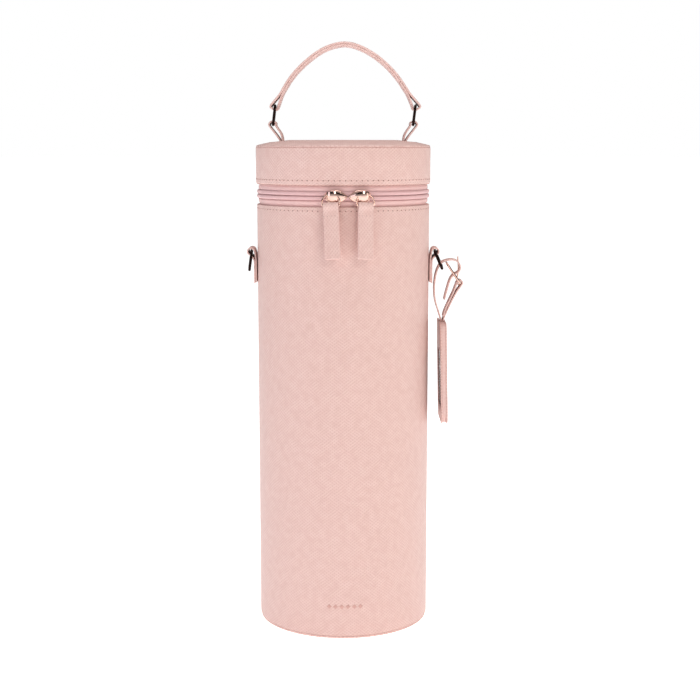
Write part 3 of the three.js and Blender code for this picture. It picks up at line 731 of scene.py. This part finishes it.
def rectangular_ring(node, upper, lean, twist):
    """A ring of bent wire hung by its upper bar at (x, z), on the body named as its node. Lean swings its lower
    bar towards +X, and twist turns it about the vertical, in degrees."""
    a, b = math.radians(lean), math.tan(math.radians(twist))
    outline = rounded(block(-RING_HALF, RING_HALF, 0, -RING_DROP), 2.2, 8)
    points = [(upper[0] - v * math.sin(a) - u * b, u, upper[1] + v * math.cos(a)) for u, v in outline]
    settle(wire(node + "_wire", points, RING_WIRE, ring_bronze), node, "rose_gold", node)


HANDLE_BAR = (40.4, 291.2)
HANDLE_LEAN = 6.8
lean = math.radians(HANDLE_LEAN)
upper_bars = [(side * HANDLE_BAR[0] + RING_DROP * math.sin(lean), HANDLE_BAR[1] + RING_DROP * math.cos(lean))
              for side in (-1, 1)]
SIDE_BAR = (53.5, 218.5)
rectangular_ring("handle_ring_left", upper_bars[0], -HANDLE_LEAN, 2.6)
rectangular_ring("handle_ring_right", upper_bars[1], -HANDLE_LEAN, -2.2)
rectangular_ring("side_ring_left", (-SIDE_BAR[0], SIDE_BAR[1]), -8, 4.0)
rectangular_ring("side_ring_right", SIDE_BAR, 24, -3.2)

# ------------------------------------------------------------------ straps, loops and side tabs
# Leatherette strip folded round each ring's bar, its cut edges sealed with thick glossy paint.
# The lid's loops come up through the top panel; the side tabs are sewn flat to the wall.
STRAP_WIDTH = 15.0
edge_paint, _ = mottled("brushed_edge_paint", "e0bab2", "e8c8c1", 600.0, 0.35, bump=0.03)


def arc(centre, radius, start, end, count):
    """Points on an arc in the XZ plane, degrees from +X towards +Z."""
    angles = [math.radians(start + (end - start) * i / (count - 1)) for i in range(count)]
    return [(centre[0] + radius * math.cos(a), centre[1] + radius * math.sin(a)) for a in angles]


def smooth_line(points, step=0.6):
    """An even run of points on a smooth curve through the given (x, z) points."""
    p = [Vector(q) for q in points]
    ends = [p[0] * 2 - p[1], *p, p[-1] * 2 - p[-2]]
    dense = []
    for i in range(len(p) - 1):
        a, b, c, d = ends[i:i + 4]
        for k in range(24):
            t = k / 24
            dense.append(((b * 2) + (c - a) * t + (a * 2 - b * 5 + c * 4 - d) * t * t
                          + (b * 3 - a - c * 3 + d) * t ** 3) / 2)
    dense.append(p[-1])
    total = sum((dense[i + 1] - dense[i]).length for i in range(len(dense) - 1))
    count = max(2, round(total / step))
    made, walked, target = [dense[0]], 0.0, total / count
    for i in range(len(dense) - 1):
        length = (dense[i + 1] - dense[i]).length
        while walked + length >= target * len(made) and len(made) < count:
            made.append(dense[i].lerp(dense[i + 1], (target * len(made) - walked) / max(length, 1e-9)))
        walked += length
    made.append(dense[-1])
    return made


def stations(line):
    """Each point of a flat line with its direction and its left-hand normal."""
    made = []
    for i, p in enumerate(line):
        along = (line[min(i + 1, len(line) - 1)] - line[max(i - 1, 0)]).normalized()
        made.append((p, along, Vector((-along.y, along.x))))
    return made


def strap(name, path, thickness, width, place_point=None, step=0.6, finishes=None):
    """A strip of leather bent in the XZ plane, its width along Y, with soft painted edges and closed ends."""
    half_t, half_w = thickness / 2, width / 2
    section = rounded(block(-half_t, half_t, -half_w, half_w), thickness * 0.38, 3)
    paint_from = half_w - thickness * 0.2
    placed = stations(smooth_line(path, step))
    rows = [[(p.x + normal.x * t, w, p.y + normal.y * t) for t, w in section] for p, along, normal in placed]
    for row, (p, along, normal) in ((0, placed[0]), (-1, placed[-1])):
        push = along * (-0.25 * thickness if row == 0 else 0.25 * thickness)
        pinch = 1 - 0.5 * thickness / width
        end = [((x - p.x) * 0.6 + p.x + push.x, y * pinch, (z - p.y) * 0.6 + p.y + push.y)
               for x, y, z in rows[row]]
        rows.insert(0 if row == 0 else len(rows), end)
    if place_point:
        rows = [[tuple(place_point(Vector(p))) for p in row] for row in rows]

    def finish_of(i, j):
        """The second finish on the strip's two edges."""
        return int(abs(section[j % len(section)][1] + section[(j + 1) % len(section)][1]) / 2 > paint_from)

    return outwards(surface(name, rows, finishes or [leather, edge_paint], caps=True, finish_of=finish_of))


def edge_runs(path, thickness, inset, side):
    """Stitch runs along both edges of a strap, on its left (1) or right (-1) face."""
    made = []
    for y in (-STRAP_WIDTH / 2 + inset, STRAP_WIDTH / 2 - inset):
        run = []
        for p, along, normal in stations(smooth_line(path, 1.0)):
            spot = p + normal * side * (thickness / 2 + THREAD_LIFT)
            run.append(((spot.x, y, spot.y), (normal.x * side, 0, normal.y * side)))
        made.append((run, False))
    return made


STITCH_REACH = STRAP_WIDTH / 2 - 1.8


def cross_run(x, z, out):
    """A straight run of stitches across a strap, along Y."""
    return [((x, -STITCH_REACH + 2 * STITCH_REACH * i / 12, z), out) for i in range(13)], False


LOOP_LEATHER = 0.95
LEG = 0.62  # from a folded loop's middle to the middle of each leg
loop_runs = []
for side, word in ((-1, "left"), (1, "right")):
    foot, bar = LOOP_X, HANDLE_BAR
    path = [(foot + LEG, 278.0), (foot + LEG, 281.5), (foot + 2.3, 284.6), *arc(bar, 1.95, -20, 200, 6),
            (foot + 0.2, 285.8), (foot - LEG, 281.5), (foot - LEG, 278.0)]
    path = [(side * x, z) for x, z in path]
    piece = strap("lid_loop_" + word + "_leather", path, LOOP_LEATHER, STRAP_WIDTH)
    settle(piece, "lid", "leatherette", "lid_loop_" + word)
    loop_runs.append(cross_run(side * (foot + 1.9), 283.2, (side * 0.9, 0, -0.35)))
stitches("lid_loop_stitches", "lid", loop_runs)

TAB_FOOT = 200.4
TAB_LEATHER = 0.85
PATCH_LOW = TAB_FOOT + 1.8  # the box of stitches on each tab
PATCH_HEIGHT = 9.4
tab_runs = []
for side, word in ((-1, "left"), (1, "right")):
    inner_leg = CASE_R + 0.15 + TAB_LEATHER / 2
    outer_leg = inner_leg + TAB_LEATHER + 0.04
    path = [(inner_leg, TAB_FOOT + 0.4), (inner_leg, 206), (inner_leg, 211), (inner_leg + 0.2, 215),
            *arc(SIDE_BAR, 2.0, 165, -70, 7), (outer_leg + 0.7, 214.6), (outer_leg, 212), (outer_leg, 206),
            (outer_leg, TAB_FOOT)]
    path = [(side * x, z) for x, z in path]
    piece = strap("side_tab_" + word + "_leather", path, TAB_LEATHER, STRAP_WIDTH)
    settle(piece, "case", "leatherette", "side_tab_" + word)
    face_x = side * (outer_leg + TAB_LEATHER / 2 + THREAD_LIFT)
    tab_runs += [cross_run(face_x, z, (side, 0, 0)) for z in (PATCH_LOW, PATCH_LOW + PATCH_HEIGHT)]
    for y in (-STITCH_REACH, STITCH_REACH):
        levels = [PATCH_LOW + PATCH_HEIGHT * i / 6 for i in range(7)]
        tab_runs.append(([((face_x, y, z), (side, 0, 0)) for z in levels], False))
stitches("side_tab_stitches", "case", tab_runs)

# ------------------------------------------------------------------ handle
# Two plies of leatherette glued back to back: the outer ply folds round both rings' bars and returns under
# itself, and the inner ply fills the underside between its folded ends. Both long edges are sewn.
PLY = 1.2
PLY_OFFSET = 0.65
FOLD_END = 0.1
ARCH = [(-36.4, 306.6), (-30.6, 316.2), (-24.6, 323.2), (-16.6, 330), (-8.5, 334.6), (0.8, 336.6), (8.6, 335),
        (16.8, 330.9), (24.8, 324.7), (31.6, 317.2), (38.6, 306.9)]
arch_line = stations(smooth_line(ARCH, 0.3))


def beside_arch(offset, start, end, count):
    """Points beside the arch, outside it where offset is positive, between two shares of its length."""
    made = []
    for i in range(count):
        p, along, normal = arch_line[round((start + (end - start) * i / (count - 1)) * (len(arch_line) - 1))]
        made.append(tuple(p + normal * offset))
    return made


# A glued filler between the plies; its dark colour is painted shade, the dark line in the groove where the
# plies' rounded edges meet.
groove_shade_filler, _ = mottled("leather_filler_painted_as_groove_shade", "95675d", "a67a70", 900.0, 0.85, detail=3.0)

handle_path = [*beside_arch(-PLY_OFFSET, FOLD_END, 0.02, 3), *arc(upper_bars[0], 2.15, 5, -185, 5),
               *beside_arch(PLY_OFFSET, 0.02, 0.98, 13), *arc(upper_bars[1], 2.15, 5, -185, 5),
               *beside_arch(-PLY_OFFSET, 0.98, 1 - FOLD_END, 3)]
outer_ply = strap("handle_outer_ply", handle_path, PLY, STRAP_WIDTH, step=0.7)
settle(outer_ply, "handle", "leatherette", "handle_strap")
UNDER_OFFSET = 0.1 - PLY_OFFSET
under_path = beside_arch(UNDER_OFFSET, FOLD_END + 0.006, 1 - FOLD_END - 0.006, 13)
under_ply = strap("handle_under_ply", under_path, PLY, STRAP_WIDTH, step=0.8)
settle(under_ply, "handle", "edge_paint", "handle_lining")
filler_path = beside_arch(0.0, 0.045, 0.955, 25)
filler = strap("handle_filler", filler_path, 0.5, STRAP_WIDTH - 0.45, step=0.8, finishes=[groove_shade_filler] * 2)
settle(filler, "handle", "edge_paint")
handle_runs = edge_runs(beside_arch(PLY_OFFSET, 0.05, 0.95, 25), PLY, 1.7, 1)
handle_runs += edge_runs(beside_arch(UNDER_OFFSET, 0.13, 0.87, 25), PLY, 1.7, -1)
stitches("handle_stitches", "handle", handle_runs)

# ------------------------------------------------------------------ sliders
# Two die-cast sliders meet nose to nose at the front. Each has a domed outer plate with flared shoulders, a
# back plate behind the tape, and a wide polished bridge that the pull's ring hangs in.
ZIP_MEET_DEG = 3.2
SLIDER_OFFSET_DEG = 7.4
PULL_OFFSET_DEG = 10.1
PLATE_R = 50.35
BACK_PLATE_R = 46.4
LUG_R = 52.7
LUG_Z = 253.0
SHIELD = [(-6, -2.5), (-3.5, -3.1), (1.5, -3.6), (4.2, -2.6), (6.1, -0.9), (6.1, 0.1), (4.4, 1.7), (2.4, 3.1),
          (0.4, 3.6), (-1.8, 3.2), (-4.2, 1.9), (-6, 0.4)]
DOME = [(0.02, 0), (1, 0), (1, 0.45), (0.97, 0.75), (0.88, 1.05), (0.7, 1.3), (0.4, 1.45), (0.02, 1.5)]
PLATE = [(0.02, 0), (0.95, 0), (1, 0.3), (0.98, 0.8), (0.02, 0.9)]
BRIDGE = [(-6.0, 0.6), (-5.6, 1.9), (-4.5, 3.2), (-2.6, 4.0), (-0.4, 3.9), (1.8, 3.0), (3.6, 1.9), (5.2, 0.9)]


def wrapped(rows, degrees, base_radius):
    """Bends rows drawn flat (x along the zip, y outwards, z up) round the case at an angle from the front."""
    return [[round_point(base_radius + y, degrees + math.degrees(x / base_radius), z) for x, y, z in row]
            for row in rows]


def join(name, parts):
    """Joins objects into one mesh, keeping their materials."""
    bpy.ops.object.select_all(action="DESELECT")
    for part in parts:
        part.select_set(True)
    bpy.context.view_layer.objects.active = parts[0]
    bpy.ops.object.join()
    parts[0].name = parts[0].data.name = name
    return parts[0]


def slider(word, side):
    """A slider's five parts as one casting; side is 1 for the left slider, whose nose points right."""
    degrees = ZIP_MEET_DEG - side * SLIDER_OFFSET_DEG
    shield = rounded([(side * x, z) for x, z in SHIELD], 1.2, 3)

    def cast(name, rows, radius=PLATE_R):
        """One part of the casting, from rows drawn flat."""
        return outwards(surface(name, wrapped(rows, degrees, radius), [rose_gold], caps=True))

    def stacked(levels):
        """The shield's outline at each (scale, height)."""
        return [[(x * s, h, ZIP_Z + z * s) for x, z in shield] for s, h in levels]

    def slab(outline, near, far):
        """An outline carried straight from one depth to another."""
        return [[(side * x, y, ZIP_Z + z) for x, z in outline] for y in (near, far)]

    parts = [cast("plate", stacked(DOME)), cast("back", stacked(PLATE), BACK_PLATE_R),
             cast("neck", slab(rounded(block(1.5, 5, -0.18, 0.18), 0.1, 2), -3.6, 0.3)),
             cast("flange", slab(rounded(block(-4.4, 1.8, -3.4, -2.8), 0.2, 2), -1.35, 0.3))]
    spine = smooth_line(BRIDGE, 0.35)
    rows = []
    for i, (p, along, normal) in enumerate(stations(spine)):
        share = i / (len(spine) - 1)
        half = 0.9 + 2.0 * math.sin(math.pi * min(1, share * 1.05 + 0.02)) ** 0.9
        row = []
        for t, w in rounded(block(-0.4, 0.4, -half, half), 0.35, 3):
            t -= 0.9 * (w / half) ** 2 * min(1.0, half / 2.2)
            z = ZIP_Z - 0.1 + w * (1.15 if w > 0 else 0.95)
            row.append((side * (p.x + normal.x * t), p.y + normal.y * t, z))
        rows.append(row)
    made = join("zip_slider_" + word + "_casting", [*parts, cast("bridge", rows)])
    settle(made, "slider_" + word, "rose_gold", "zip_slider_" + word)


slider("left", 1)
slider("right", -1)

# ------------------------------------------------------------------ pulls
# Each pull is a D of plated wire in the slider's bridge, and a leatherette tab folded over its straight bar,
# glued shut and held by one row of stitches across it.
PULL_BAR_Z = 246.9
RING_LEAN = math.radians(14)
TAB_LEAN = math.radians(9)
TAB_WIDTH = 8.4
PULL_WIRE = 0.48
PULL_HALF = 5.0
PULL_DROP = (LUG_Z - PULL_BAR_Z) / math.cos(RING_LEAN)
PULL_BOW = [(PULL_HALF - 0.2, -PULL_DROP + 0.6), (PULL_HALF, -PULL_DROP + 1.5), (PULL_HALF - 0.3, -2.7),
            (PULL_HALF - 1.2, -1.2), (2.5, -0.25), (1.2, 0)]
TAB_FOLD = 1.45  # radius of the tab's turn round the bar
TAB_LEG = 0.6  # from the tab's middle to the middle of each ply
TAB_PLY = 1.0
TAB_END = -28.9
TAB_SEAM_Z = -5.6
bar_radius = LUG_R + (LUG_Z - PULL_BAR_Z) * math.tan(RING_LEAN)


def pull(word, side, swing):
    """A slider's ring and leather tab; swing turns the hanging tab to one side, in degrees."""
    degrees = ZIP_MEET_DEG - side * PULL_OFFSET_DEG
    at_front = Matrix.Rotation(math.radians(degrees), 4, "Z")
    foot = [(x, -PULL_DROP) for x in (0.8 - PULL_HALF, 0, PULL_HALF - 0.8)]
    outline = rounded([*foot, *PULL_BOW, *[(-x, z) for x, z in reversed(PULL_BOW)]], 0.9, 3)
    lean = Matrix.Translation((0, -LUG_R, LUG_Z)) @ Matrix.Rotation(-RING_LEAN, 4, "X")
    points = [tuple(at_front @ lean @ Vector((x, 0, z))) for x, z in outline]
    ring = wire("pull_ring_" + word + "_wire", points, PULL_WIRE, rose_gold)
    settle(ring, "pull_ring_" + word, "rose_gold", "pull_ring_" + word)

    leg = [(TAB_LEG + 0.1, -3.2), (TAB_LEG, -9), (TAB_LEG, -20), (TAB_LEG, TAB_END)]
    path = [*[(-x, z) for x, z in reversed(leg)], *arc((0, 0), TAB_FOLD, 195, -15, 5), *leg]
    hang = (at_front @ Matrix.Translation((0, -bar_radius, PULL_BAR_Z)) @ Matrix.Rotation(-TAB_LEAN, 4, "X")
            @ Matrix.Rotation(-math.radians(swing), 4, "Y") @ Matrix.Rotation(math.pi / 2, 4, "Z"))
    tab = strap("pull_tab_" + word + "_leather", path, TAB_PLY, TAB_WIDTH, lambda p: hang @ p, step=0.4)
    settle(tab, "pull_tab_" + word, "leatherette", "pull_tab_" + word)
    runs = []
    for face in (-1, 1):
        reach = TAB_WIDTH / 2 - 1.2
        x = face * (TAB_LEG + TAB_PLY / 2 + THREAD_LIFT)
        row = [Vector((x, -reach + 2 * reach * i / 8, TAB_SEAM_Z)) for i in range(9)]
        out = hang.to_3x3() @ Vector((face, 0, 0))
        runs.append(([(tuple(hang @ p), tuple(out)) for p in row], False))
    stitches("pull_tab_" + word + "_stitches", "pull_tab_" + word, runs, fineness=0.55)


pull("left", 1, 3.4)
pull("right", -1, -2.3)

# ------------------------------------------------------------------ luggage tag
# A leatherette address tag: two plies with a welt between them, a film window with a card behind it, and a
# strap that goes over the side ring's lower bar and through a small wire buckle with a prong.
TAG_X = 58.0
TAG_TOP = 177.6
TAG_LEAN = math.radians(1.2)
TAG_STRAP = 0.9
TAG_STRAP_WIDTH = 9.0
LEG_X = 0.5
GRIP = 8.0
BUCKLE_FAR = (60.5, 211.4)
BUCKLE_HEEL = (68.1, 199.9)
BUCKLE_HALF = 6.4
BUCKLE_WIRE = 0.62
TAG_HALF = 17.0
TAG_HEIGHT = 59.4

tag_frame = Matrix.Translation((TAG_X, 0, TAG_TOP)) @ Matrix.Rotation(-TAG_LEAN, 4, "Y")
strap_path = [(TAG_X - LEG_X, TAG_TOP - GRIP), (TAG_X - LEG_X, TAG_TOP - 0.6), (56.2, 181.8), (53.9, 189.5),
              (53.3, 196.5), (53.8, 203), (55.2, 208.4), (57.4, 211.7), (60.4, 213.1), (64, 213.5),
              (67, 212.2), (68.4, 209), (67.2, 206.2), (64.4, 204.6), (62.4, 201.6), (60.7, 196), (59.2, 190.2)]
long_strap = strap("tag_long_strap", strap_path, TAG_STRAP, TAG_STRAP_WIDTH)
settle(long_strap, "tag", "leatherette", "tag_strap")
heel_path = [(TAG_X + LEG_X, TAG_TOP - GRIP), (TAG_X + LEG_X, TAG_TOP - 0.4), (61, 184), (65.7, 193.6),
             *arc(BUCKLE_HEEL, 1.55, -30, 150, 6), (64.5, 194.6), (61.9, 188.9), (59.9, 184.4),
             (58.6, 180.4)]
heel_strap = strap("tag_short_strap", heel_path, TAG_STRAP, TAG_STRAP_WIDTH)
settle(heel_strap, "tag", "leatherette", "tag_buckle_strap")

across = Vector((BUCKLE_HEEL[0] - BUCKLE_FAR[0], BUCKLE_HEEL[1] - BUCKLE_FAR[1]))
buckle_outline = rounded(block(-BUCKLE_HALF, BUCKLE_HALF, 0, across.length), 1.8, 6)
unit = across.normalized()
points = [(BUCKLE_FAR[0] + unit.x * v, u, BUCKLE_FAR[1] + unit.y * v) for u, v in buckle_outline]
settle(wire("tag_buckle_wire", points, BUCKLE_WIRE, rose_gold), "tag", "rose_gold", "tag_buckle")

PRONG_LEAN = math.radians(4)
prong_place = Matrix.Translation((BUCKLE_HEEL[0], 0, BUCKLE_HEEL[1])) @ Matrix.Rotation(-PRONG_LEAN, 4, "Y")
prong_path = [*arc((0, 0), 1.3, 40, -190, 8), (-1, 3), (-0.3, 6), (0, 10), (0, 15.2)]

prong = strap("tag_prong_wire", prong_path, 0.85, 1.2, place_point=lambda p: prong_place @ p, step=0.3,
              finishes=[rose_gold] * 2)
settle(prong, "tag_prong", "rose_gold", "tag_buckle_prong")


def tag_ply(name, outline, low, high, body, slot, node, hole=None, material=leather, edge=0.14):
    """A flat ply of the tag, from an outline of (y, z) points, between two depths along x, with eased edges."""
    levels = [(low, edge), (low + edge * 0.4, edge * 0.3), (low + edge, 0.0), (high - edge, 0.0),
              (high - edge * 0.4, edge * 0.3), (high, edge)]

    def shrunk(points, amount):
        """An outline drawn in on every side."""
        made = []
        count = len(points)
        for i in range(count):
            along = (Vector(points[(i + 1) % count]) - Vector(points[i - 1])).normalized()
            made.append((points[i][0] - along.y * amount, points[i][1] + along.x * amount))
        return made

    rows = [[(x, y, z) for y, z in shrunk(outline, inset)] for x, inset in levels]
    if hole:
        rows += [[(x, y, z) for y, z in shrunk(hole, -inset)] for x, inset in reversed(levels)]
    rows = [[tuple(tag_frame @ Vector(p)) for p in row] for row in rows]
    made = surface(name, rows, [material], loop_rows=bool(hole), caps=not hole)
    layer = made.data.uv_layers["grain"].data
    back = tag_frame.inverted()
    for loop in made.data.loops:
        local = back @ (made.data.vertices[loop.vertex_index].co / MM)
        layer[loop.index].uv = (local.y * MM, local.z * MM)
    settle(outwards(made), body, slot, node)


def rectangle(half, low, high, corner):
    """A round-cornered outline, even about the tag's middle."""
    return rounded(block(-half, half, low, high), corner, 6)


body_outline = rectangle(TAG_HALF, -TAG_HEIGHT, 0, 5.0)
window_outline = rectangle(11.5, -51, -17, 2.2)
tag_ply("tag_front_ply", body_outline, -1.9, -1.08, "tag", "leatherette", "tag_front", hole=window_outline)
tag_ply("tag_back_ply", body_outline, 1.08, 1.9, "tag", "leatherette", "tag_back")
WELT_OUT = TAG_HALF - 0.35
WELT_LOW = -TAG_HEIGHT + 0.35
WELT_WIDTH = 2.0
welt_outline = [(-WELT_OUT, -2.4), (-WELT_OUT, WELT_LOW + 4.3), (-WELT_OUT + 4.3, WELT_LOW),
                (WELT_OUT - 4.3, WELT_LOW), (WELT_OUT, WELT_LOW + 4.3), (WELT_OUT - WELT_WIDTH, WELT_LOW + 4.6),
                (WELT_OUT - 5, WELT_LOW + WELT_WIDTH), (-WELT_OUT + 5, WELT_LOW + WELT_WIDTH),
                (-WELT_OUT + WELT_WIDTH, WELT_LOW + 5), (-WELT_OUT + WELT_WIDTH, -3), (-WELT_OUT + 4, -2.4),
                (-5.6, -2.4), (-5.6, -0.35), (-WELT_OUT + 3.2, -0.35)]
tag_ply("tag_welt_ply", rounded(welt_outline, 1.6), -1.1, 1.1, "tag", "edge_paint", "tag_welt",
        material=edge_paint)

film, shader = mottled("clear_vinyl_film", "f2f2f0", "ffffff", 120.0, 0.05, spread=0.11)
shader.inputs["Transmission Weight"].default_value = 1.0
shader.inputs["IOR"].default_value = 1.45
tag_ply("tag_film_window", rectangle(14, -54, -14.5, 1.5), -1.05, -0.85, "tag", "clear_film", "tag_window",
        material=film, edge=0.08)
paper_card, _ = mottled("uncoated_card", "efe9e2", "faf7f2", 900.0, 0.85, detail=4.0)
tag_ply("tag_address_card", rectangle(13.4, -53.4, -15, 1.2), -0.2, 0.1, "tag_card", "card", "tag_card",
        material=paper_card, edge=0.1)

PLY_FACE = 1.86
edge_seam = rectangle(TAG_HALF - 1.7, -TAG_HEIGHT + 1.7, -1.7, 3.6)
window_seam = [(y + math.copysign(1.5, y), z + math.copysign(1.5, z + 34)) for y, z in window_outline]
tag_runs = []
for outline, out in ((edge_seam, -1), (window_seam, -1), (edge_seam, 1)):
    facing_out = tuple(tag_frame.to_3x3() @ Vector((out, 0, 0)))
    run = [tuple(tag_frame @ Vector((PLY_FACE * out, y, z))) for y, z in outline]
    tag_runs.append(([(point, facing_out) for point in run], True))
stitches("tag_stitches", "tag", tag_runs)

# ------------------------------------------------------------------ front motif
# A small plain ornament pressed into the front near the base: a row of lozenges, in the leather itself.
MOTIF_Z = 19.0
MOTIF_HALF = 9.0
MOTIF_DEG = 1.2
LOZENGES = 6
LOZENGE = 2.9

motif_tree, motif_sockets, given, line = bead_tree("lozenge_row", {"Count": "NodeSocketInt",
                                                                  "Size": "NodeSocketFloat"})
paced = add(motif_tree, "GeometryNodeResampleCurve", {"Curve": line, "Count": given["Count"]}).outputs[0]
pressed = leatherette("pressed_leatherette", "d9aea3", "cfa096", LEATHER, 0.4)
size = given["Size"]
painted = beads(motif_tree, paced, 4, size, size, 0.14, pressed, smooth=False)
add(motif_tree, "NodeGroupOutput", {0: painted})

half_deg = math.degrees(MOTIF_HALF / CASE_R)
run, closed = ring_run(CASE_R + THREAD_LIFT, MOTIF_Z, MOTIF_DEG - half_deg, 2 * half_deg, 24)
edges = [(i, i + 1) for i in range(len(run) - 1)]
sizes = {motif_sockets["Count"]: LOZENGES, motif_sockets["Size"]: LOZENGE * MM}
motif = grown("front_motif", [p for p, o in run], [o for p, o in run], edges, motif_tree, sizes)
settle(motif, "case", "leatherette")
